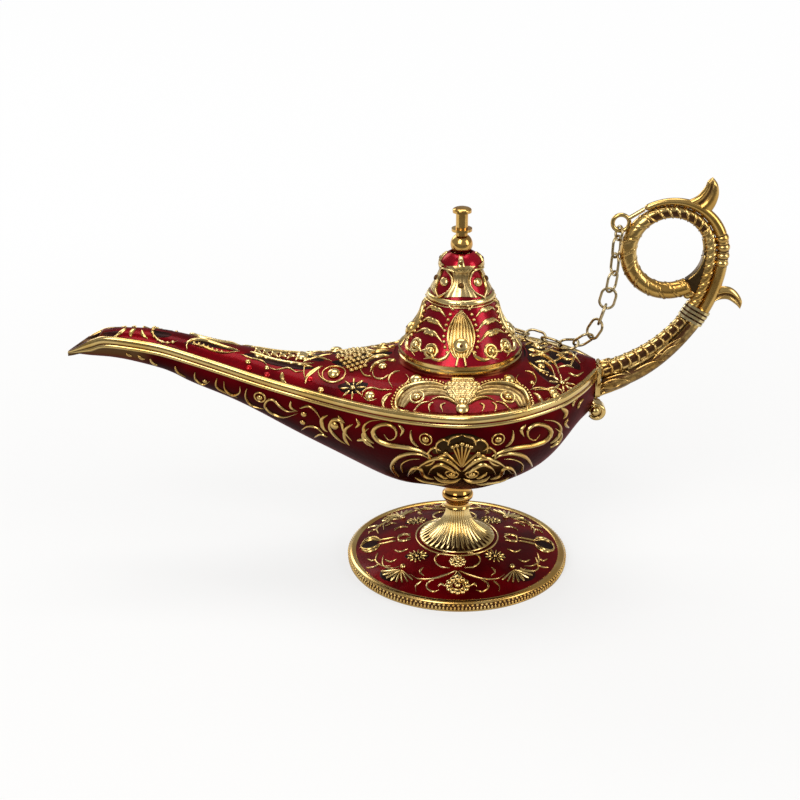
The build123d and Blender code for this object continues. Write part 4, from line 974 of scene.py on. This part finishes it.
deck.strokes([
    ("tail", 1.0, 0.7, 250, 352, 262, 356, 275, 360, 290, 363, 304, 364, 314, 363),
    ("tail", 0.7, 0.5, 310, 355, 320, 358, 332, 361),
    ("leaf", 1.5, 0.6, 323, 366, 315, 370, 308, 376, 305, 384),
    ("round", 0.7, 0.5, 319, 367, 319, 375, 326, 381, 337, 382, 345, 376),
    ("leaf", 1.6, 0.7, 283, 372, 282, 378, 287, 385),
    ("tail", 0.6, 0.5, 305, 365, 304, 374, 307, 383),
    ("round", 0.5, 0.4, 240, 354, 250, 358, 262, 361, 268, 367),
    ("round", 0.5, 0.4, 268, 367, 276, 370, 288, 368, 296, 372, 304, 371),
    ("round", 1.2, 0.8, 187, 350, 187, 344, 194, 340, 206, 341, 218, 345, 230, 349, 238, 350),
    ("tail", 0.8, 0.6, 192, 344, 204, 347, 214, 351, 226, 353, 240, 351),
    ("tail", 1.2, 0.5, 126, 329, 119, 334, 113, 337),
    ("leaf", 1.4, 0.6, 136, 329, 131, 333, 131, 338),
    ("leaf", 1.4, 0.6, 142, 330, 143, 335, 148, 339),
    ("tail", 0.8, 0.6, 152, 331, 154, 336, 160, 341, 168, 343, 178, 341),
    ("leaf", 1.4, 0.7, 378, 345, 388, 348, 396, 346),
    ("leaf", 1.2, 0.8, 366, 357, 376, 352, 388, 351),
    ("leaf", 1.3, 0.8, 364, 364, 376, 357, 390, 356),
    ("leaf", 1.2, 0.8, 370, 372, 376, 364, 388, 360),
    ("round", 0.6, 0.5, 360, 369, 364, 375, 372, 377),
    ("round", 0.6, 0.5, 373, 369, 374, 377, 383, 379, 390, 374),
    ("tail", 1.4, 0.8, 532, 357, 540, 355, 549, 359, 556, 366, 559, 374),
    ("round", 0.9, 0.6, 528, 362, 534, 367, 541, 371, 549, 373),
    ("tail", 1.0, 0.7, 535, 363, 543, 362, 551, 368, 555, 377),
    ("leaf", 0.9, 0.5, 568, 373, 576, 376, 584, 372),
    ("leaf", 1.0, 0.6, 556, 356, 566, 353, 576, 357),
    ("round", 0.6, 0.5, 530, 390, 540, 388, 549, 391, 553, 396),
    ("tail", 0.9, 0.5, 545, 349, 556, 352, 566, 358),
    ("tail", 0.9, 0.5, 566, 350, 574, 356, 580, 363),
    ("leaf", 0.8, 0.5, 558, 368, 566, 366, 574, 368),
    ("tail", 1.0, 0.6, 528, 350, 536, 352, 542, 357),
])
for index in range(7):  # plaited band on the spout
    across, down = 254 + 8.2 * index, 353.5 + 1.6 * index
    for turn in (-1, 1):
        points = deck.seen(across, down + turn, across + 4, down + 3.2 * turn, across + 9, down + 3.8 * turn)
        if len(points) == 3:
            deck.ridge(points, 0.9, 0.6, "leaf", 10, 4)
for row in range(5):  # bunch of grapes
    for step in range(6 - abs(row - 2)):
        deck.ballAt(338 + 4.6 * step + 3.4 * row, 358 + 3.2 * row - 1.5 * step, 0.80, 0.2, 0.9, tone=0.45)
for across, down in ((353, 388), (562, 383)):
    deck.flower(across, down, 4.3, 8, 0.8, 0.3, 0.25, 0.9)
deck.bosses([
    (302, 358, 1.9, 0.55), (334, 374, 2.0, 0.6, 3.6, 0.5), (248, 362, 0.9, 0.6), (321, 390, 1.0, 0.6),
    (553, 393, 1.5, 0.6), (383, 367, 1.4, 0.7), (541, 367, 1.2, 0.7), (532, 383, 0.8, 0.7),
    (267, 368, 0.8, 0.6)])
deck.beadLines([
    (0.5, 1.5, 194, 343, 202, 345, 212, 349, 222, 352),
    (0.6, 1.6, 153, 330, 153, 335, 158, 340, 166, 343, 176, 342),
    (0.45, 1.2, 540, 372, 548, 376, 556, 378),
])
deck.finish("deckOrnament", "silverGold")

# Bowl: palmette over the stem on a dark plate, scrolls and rings along the hull
plate = Ornament("bowl")
plate.plates([
    (7.4, 433, 453, 446, 446, 462, 443, 478, 446, 491, 453),
    (6.2, 405, 472, 430, 470, 462, 475, 494, 470, 519, 472),
    (6.0, 440, 462, 462, 460, 484, 462),
], 0.12, 36, 14)
plate.finish("palmettePlate", "darkGround")

bowl = Ornament("bowl")
bowlMiddle = 462
bowl.strokes([
    ("round", 0.9, 0.8, 448, 446, 451, 438, 462, 434.5),
    ("round", 0.9, 0.8, 438, 454, 437, 444, 444, 439, 451, 443),
    ("round", 0.9, 0.8, 431, 460, 429, 452, 435, 447, 442, 451),
    ("tail", 1.7, 0.85, 461, 471, 452, 463, 441, 458, 430, 460, 420, 466, 411, 474),
    ("tail", 1.7, 0.9, 456, 473, 448, 467, 440, 464, 432, 468, 428, 475),
    ("round", 1.5, 0.8, 408, 476, 412, 469, 420, 468, 424, 475, 434, 479),
    ("leaf", 1.6, 0.9, 461, 478, 452, 481, 442, 480, 434, 476),
    ("leaf", 1.2, 0.7, 437, 472, 442, 476, 448, 478),
    ("round", 1.0, 0.6, 415, 477, 424, 481, 436, 483, 448, 484),
    ("leaf", 1.0, 0.7, 455, 466, 450, 460, 444, 459),
    ("leaf", 1.0, 0.7, 436, 458, 432, 463, 424, 465),
    ("tail", 1.9, 0.85, 432, 456, 420, 450, 405, 447, 390, 445, 378, 440, 373, 432, 378, 426, 388, 424, 396,
     429, 396, 437, 389, 440, 384, 434),
    ("tail", 1.3, 0.7, 374, 443, 366, 436, 364, 427, 370, 421, 380, 420),
    ("tail", 1.6, 0.8, 399, 476, 392, 466, 399, 457, 412, 453, 424, 455, 431, 460),
    ("tail", 0.8, 0.6, 403, 472, 402, 464, 410, 459, 420, 459),
    ("leaf", 1.0, 0.6, 411, 430, 412, 440, 419, 447),
    ("leaf", 1.2, 0.6, 398, 424, 403, 430, 400, 437),
    ("leaf", 1.2, 0.6, 369, 428, 363, 434, 366, 442, 374, 447),
    ("tail", 1.2, 0.6, 357, 440, 366, 440, 374, 448),
    ("leaf", 1.0, 0.7, 436, 458, 442, 455, 449, 455),
    ("leaf", 1.2, 0.5, 356, 418, 359, 424, 355, 428),
], bowlMiddle)
ribTips = ((462, 443), (453, 446), (471, 446), (446, 452), (478, 452), (457, 444.5), (467, 444.5))
for across, down in ribTips:
    points = bowl.seen(bowlMiddle, 466, (across + bowlMiddle) / 2, (down + 466) / 2, across, down)
    bowl.ridge(points, 0.8, 0.8, (0.5, 0.8, 1.0, 1.0, 0.3), 12, 4)
    bowl.ball(points[-1], 0.75, 0.7, 0.9)
bowl.bosses([(426, 439, 1.15, 0.8, 1.9, 0.6), (452, 474, 1.1, 0.8, 1.9, 0.7)], bowlMiddle)
bowl.strokes([
    ("round", 1.3, 0.7, 346, 444, 337, 437, 330, 428, 333, 420, 341, 421, 344, 430, 352, 441),
    ("leaf", 1.6, 0.6, 328, 415, 322, 419, 323, 427, 328, 432),
    ("leaf", 1.6, 0.6, 353, 424, 346, 429, 345, 438, 350, 446),
    ("leaf", 0.9, 0.5, 338, 415, 341, 419, 345, 423),
    ("round", 0.9, 0.6, 298, 411, 288, 411, 280, 406, 274, 400, 268, 400, 265, 406, 272, 413, 284, 417, 298,
     413),
    ("tail", 1.0, 0.6, 291, 401, 291, 407, 297, 411),
    ("tail", 0.9, 0.6, 300, 408, 309, 406, 317, 412, 321, 420),
    ("leaf", 0.8, 0.5, 301, 430, 308, 426, 318, 428, 324, 434),
    ("leaf", 0.8, 0.5, 314, 437, 321, 434, 328, 437),
    ("tail", 0.8, 0.6, 247, 388, 246, 397, 252, 405, 264, 409),
    ("round", 0.8, 0.6, 240, 386, 240, 392, 233, 395, 226, 390, 224, 381),
    ("tail", 0.8, 0.5, 217, 378, 218, 388, 225, 396, 238, 398),
    ("tail", 0.8, 0.6, 195, 372, 196, 379, 203, 384, 210, 381),
    ("tail", 0.8, 0.5, 175, 366, 178, 372, 186, 377),
    ("leaf", 1.0, 0.5, 150, 359, 153, 363, 158, 365),
    ("leaf", 1.0, 0.5, 138, 355, 141, 358, 145, 359),
    ("leaf", 1.0, 0.5, 126, 353, 129, 355, 132, 356),
    ("leaf", 1.8, 0.6, 560, 407, 566, 412, 563, 419),
    ("leaf", 1.0, 0.6, 577, 398, 573, 402, 572, 407),
    ("leaf", 1.0, 0.6, 583, 398, 579, 403, 577, 409),
])
bowl.bosses([
    (260, 397, 1.0, 0.8, 1.75, 0.7), (304, 414, 1.0, 0.6), (303, 422, 1.0, 0.6), (335, 425, 1.5, 0.6),
    (205, 381, 0.8, 0.6)])
bowl.finish("bowlOrnament", "antiqueGold")

# Foot: rosettes, flowers, fans and scrolls on the enamel, and dark hearts under some
hearts = Ornament("foot_plate")
hearts.plates([
    (5.0, 405, 556, 417, 556, 429, 556), (5.0, 484, 556, 495, 556, 506, 556),
    (6.6, 381, 571, 391, 575, 402, 577), (6.6, 513, 577, 524, 575, 534, 571),
    (4.6, 360, 546, 370, 546, 380, 546), (4.6, 535, 546, 545, 546, 555, 546),
], 0.08, 20, 10)
hearts.finish("footHearts", "blackGround", "enamel")

foot = Ornament("foot_plate")
footMiddle = 457.5
foot.strokes([
    ("round", 0.7, 0.45, 449, 553, 438, 555, 435, 561, 441, 567, 450, 568),
    ("tail", 0.75, 0.5, 456, 571, 446, 575, 432, 579, 418, 579, 410, 574),
    ("leaf", 0.7, 0.4, 424, 567, 420, 572, 424, 576),
    ("round", 0.7, 0.45, 434, 580, 428, 583, 427, 588, 433, 592, 439, 590),
    ("tail", 0.6, 0.4, 422, 581, 416, 586, 416, 592),
    ("round", 0.6, 0.45, 396, 541, 386, 543, 378, 545),
    ("leaf", 0.9, 0.5, 411, 534, 400, 536, 398, 540),
    ("leaf", 0.9, 0.5, 398, 541, 405, 541, 411, 537),
    ("leaf", 1.1, 0.55, 360, 549, 364, 543, 372, 540, 380, 541),
    ("leaf", 1.1, 0.55, 361, 550, 368, 552, 376, 549, 381, 543),
    ("tail", 0.7, 0.45, 378, 553, 376, 561, 382, 566, 391, 566),
    ("tail", 0.6, 0.4, 366, 568, 374, 567, 381, 563),
    ("tail", 0.6, 0.4, 385, 560, 391, 562, 397, 559),
    ("leaf", 0.6, 0.4, 367, 559, 372, 561, 377, 559),
    ("round", 0.6, 0.4, 394, 550, 400, 552, 408, 549),
    ("tail", 0.6, 0.4, 384, 530, 384, 524, 392, 520, 402, 519),
], footMiddle)
for across in (417, 495):
    foot.flower(across, 556, 3.4, 12, 0.66, 0.1, 0.35, 0.7)
for across, hub, turn in ((403, 401, -1), (512, 514, 1)):  # fans
    foot.ballAt(across, 567, 1.0, 0.3, 0.8)
    for rib in range(8):
        angle = radians(8 + 17 * rib)
        points = foot.seen(hub, 570, hub + turn * 10 * cos(angle), 570 + 6.5 * sin(angle),
                           hub + turn * 20 * cos(angle), 570 + 13 * sin(angle))
        foot.ridge(points, 0.85, 0.55, (0.2, 0.5, 0.8, 1.0, 0.5), 10, 4)
for down, petals, reach, size in ((562, 10, 2.1, 0.75), (586, 12, 3.1, 0.95)):  # rosettes
    for point in foot.seen(footMiddle, down):
        place, across, along = foot.frameAt(point)
        for index in range(petals):
            angle = 2 * pi * index / petals
            foot.ball(place + (across * cos(angle) + along * sin(angle)) * reach * mm, size, 0.3, 0.7)
        foot.ring(point, reach * 0.62, 0.7, 0.6)
        foot.ball(point, reach * 0.36, 0.4, 0.8)
foot.strokes([
    ("leaf", 1.4, 0.5, 452, 579, 457, 574, 457, 571),
    ("leaf", 1.4, 0.5, 463, 579, 458, 574, 458, 571),
    ("leaf", 0.9, 0.45, 446, 587, 441, 584, 438, 587),
    ("leaf", 0.9, 0.45, 469, 587, 474, 584, 477, 587),
])
addCopy(foot.shape, mirrorBack)
foot.band(13.4, 7.6, 0.6, 0.4)
finishPiece(foot.shape, "footOrnament", "silverGold")
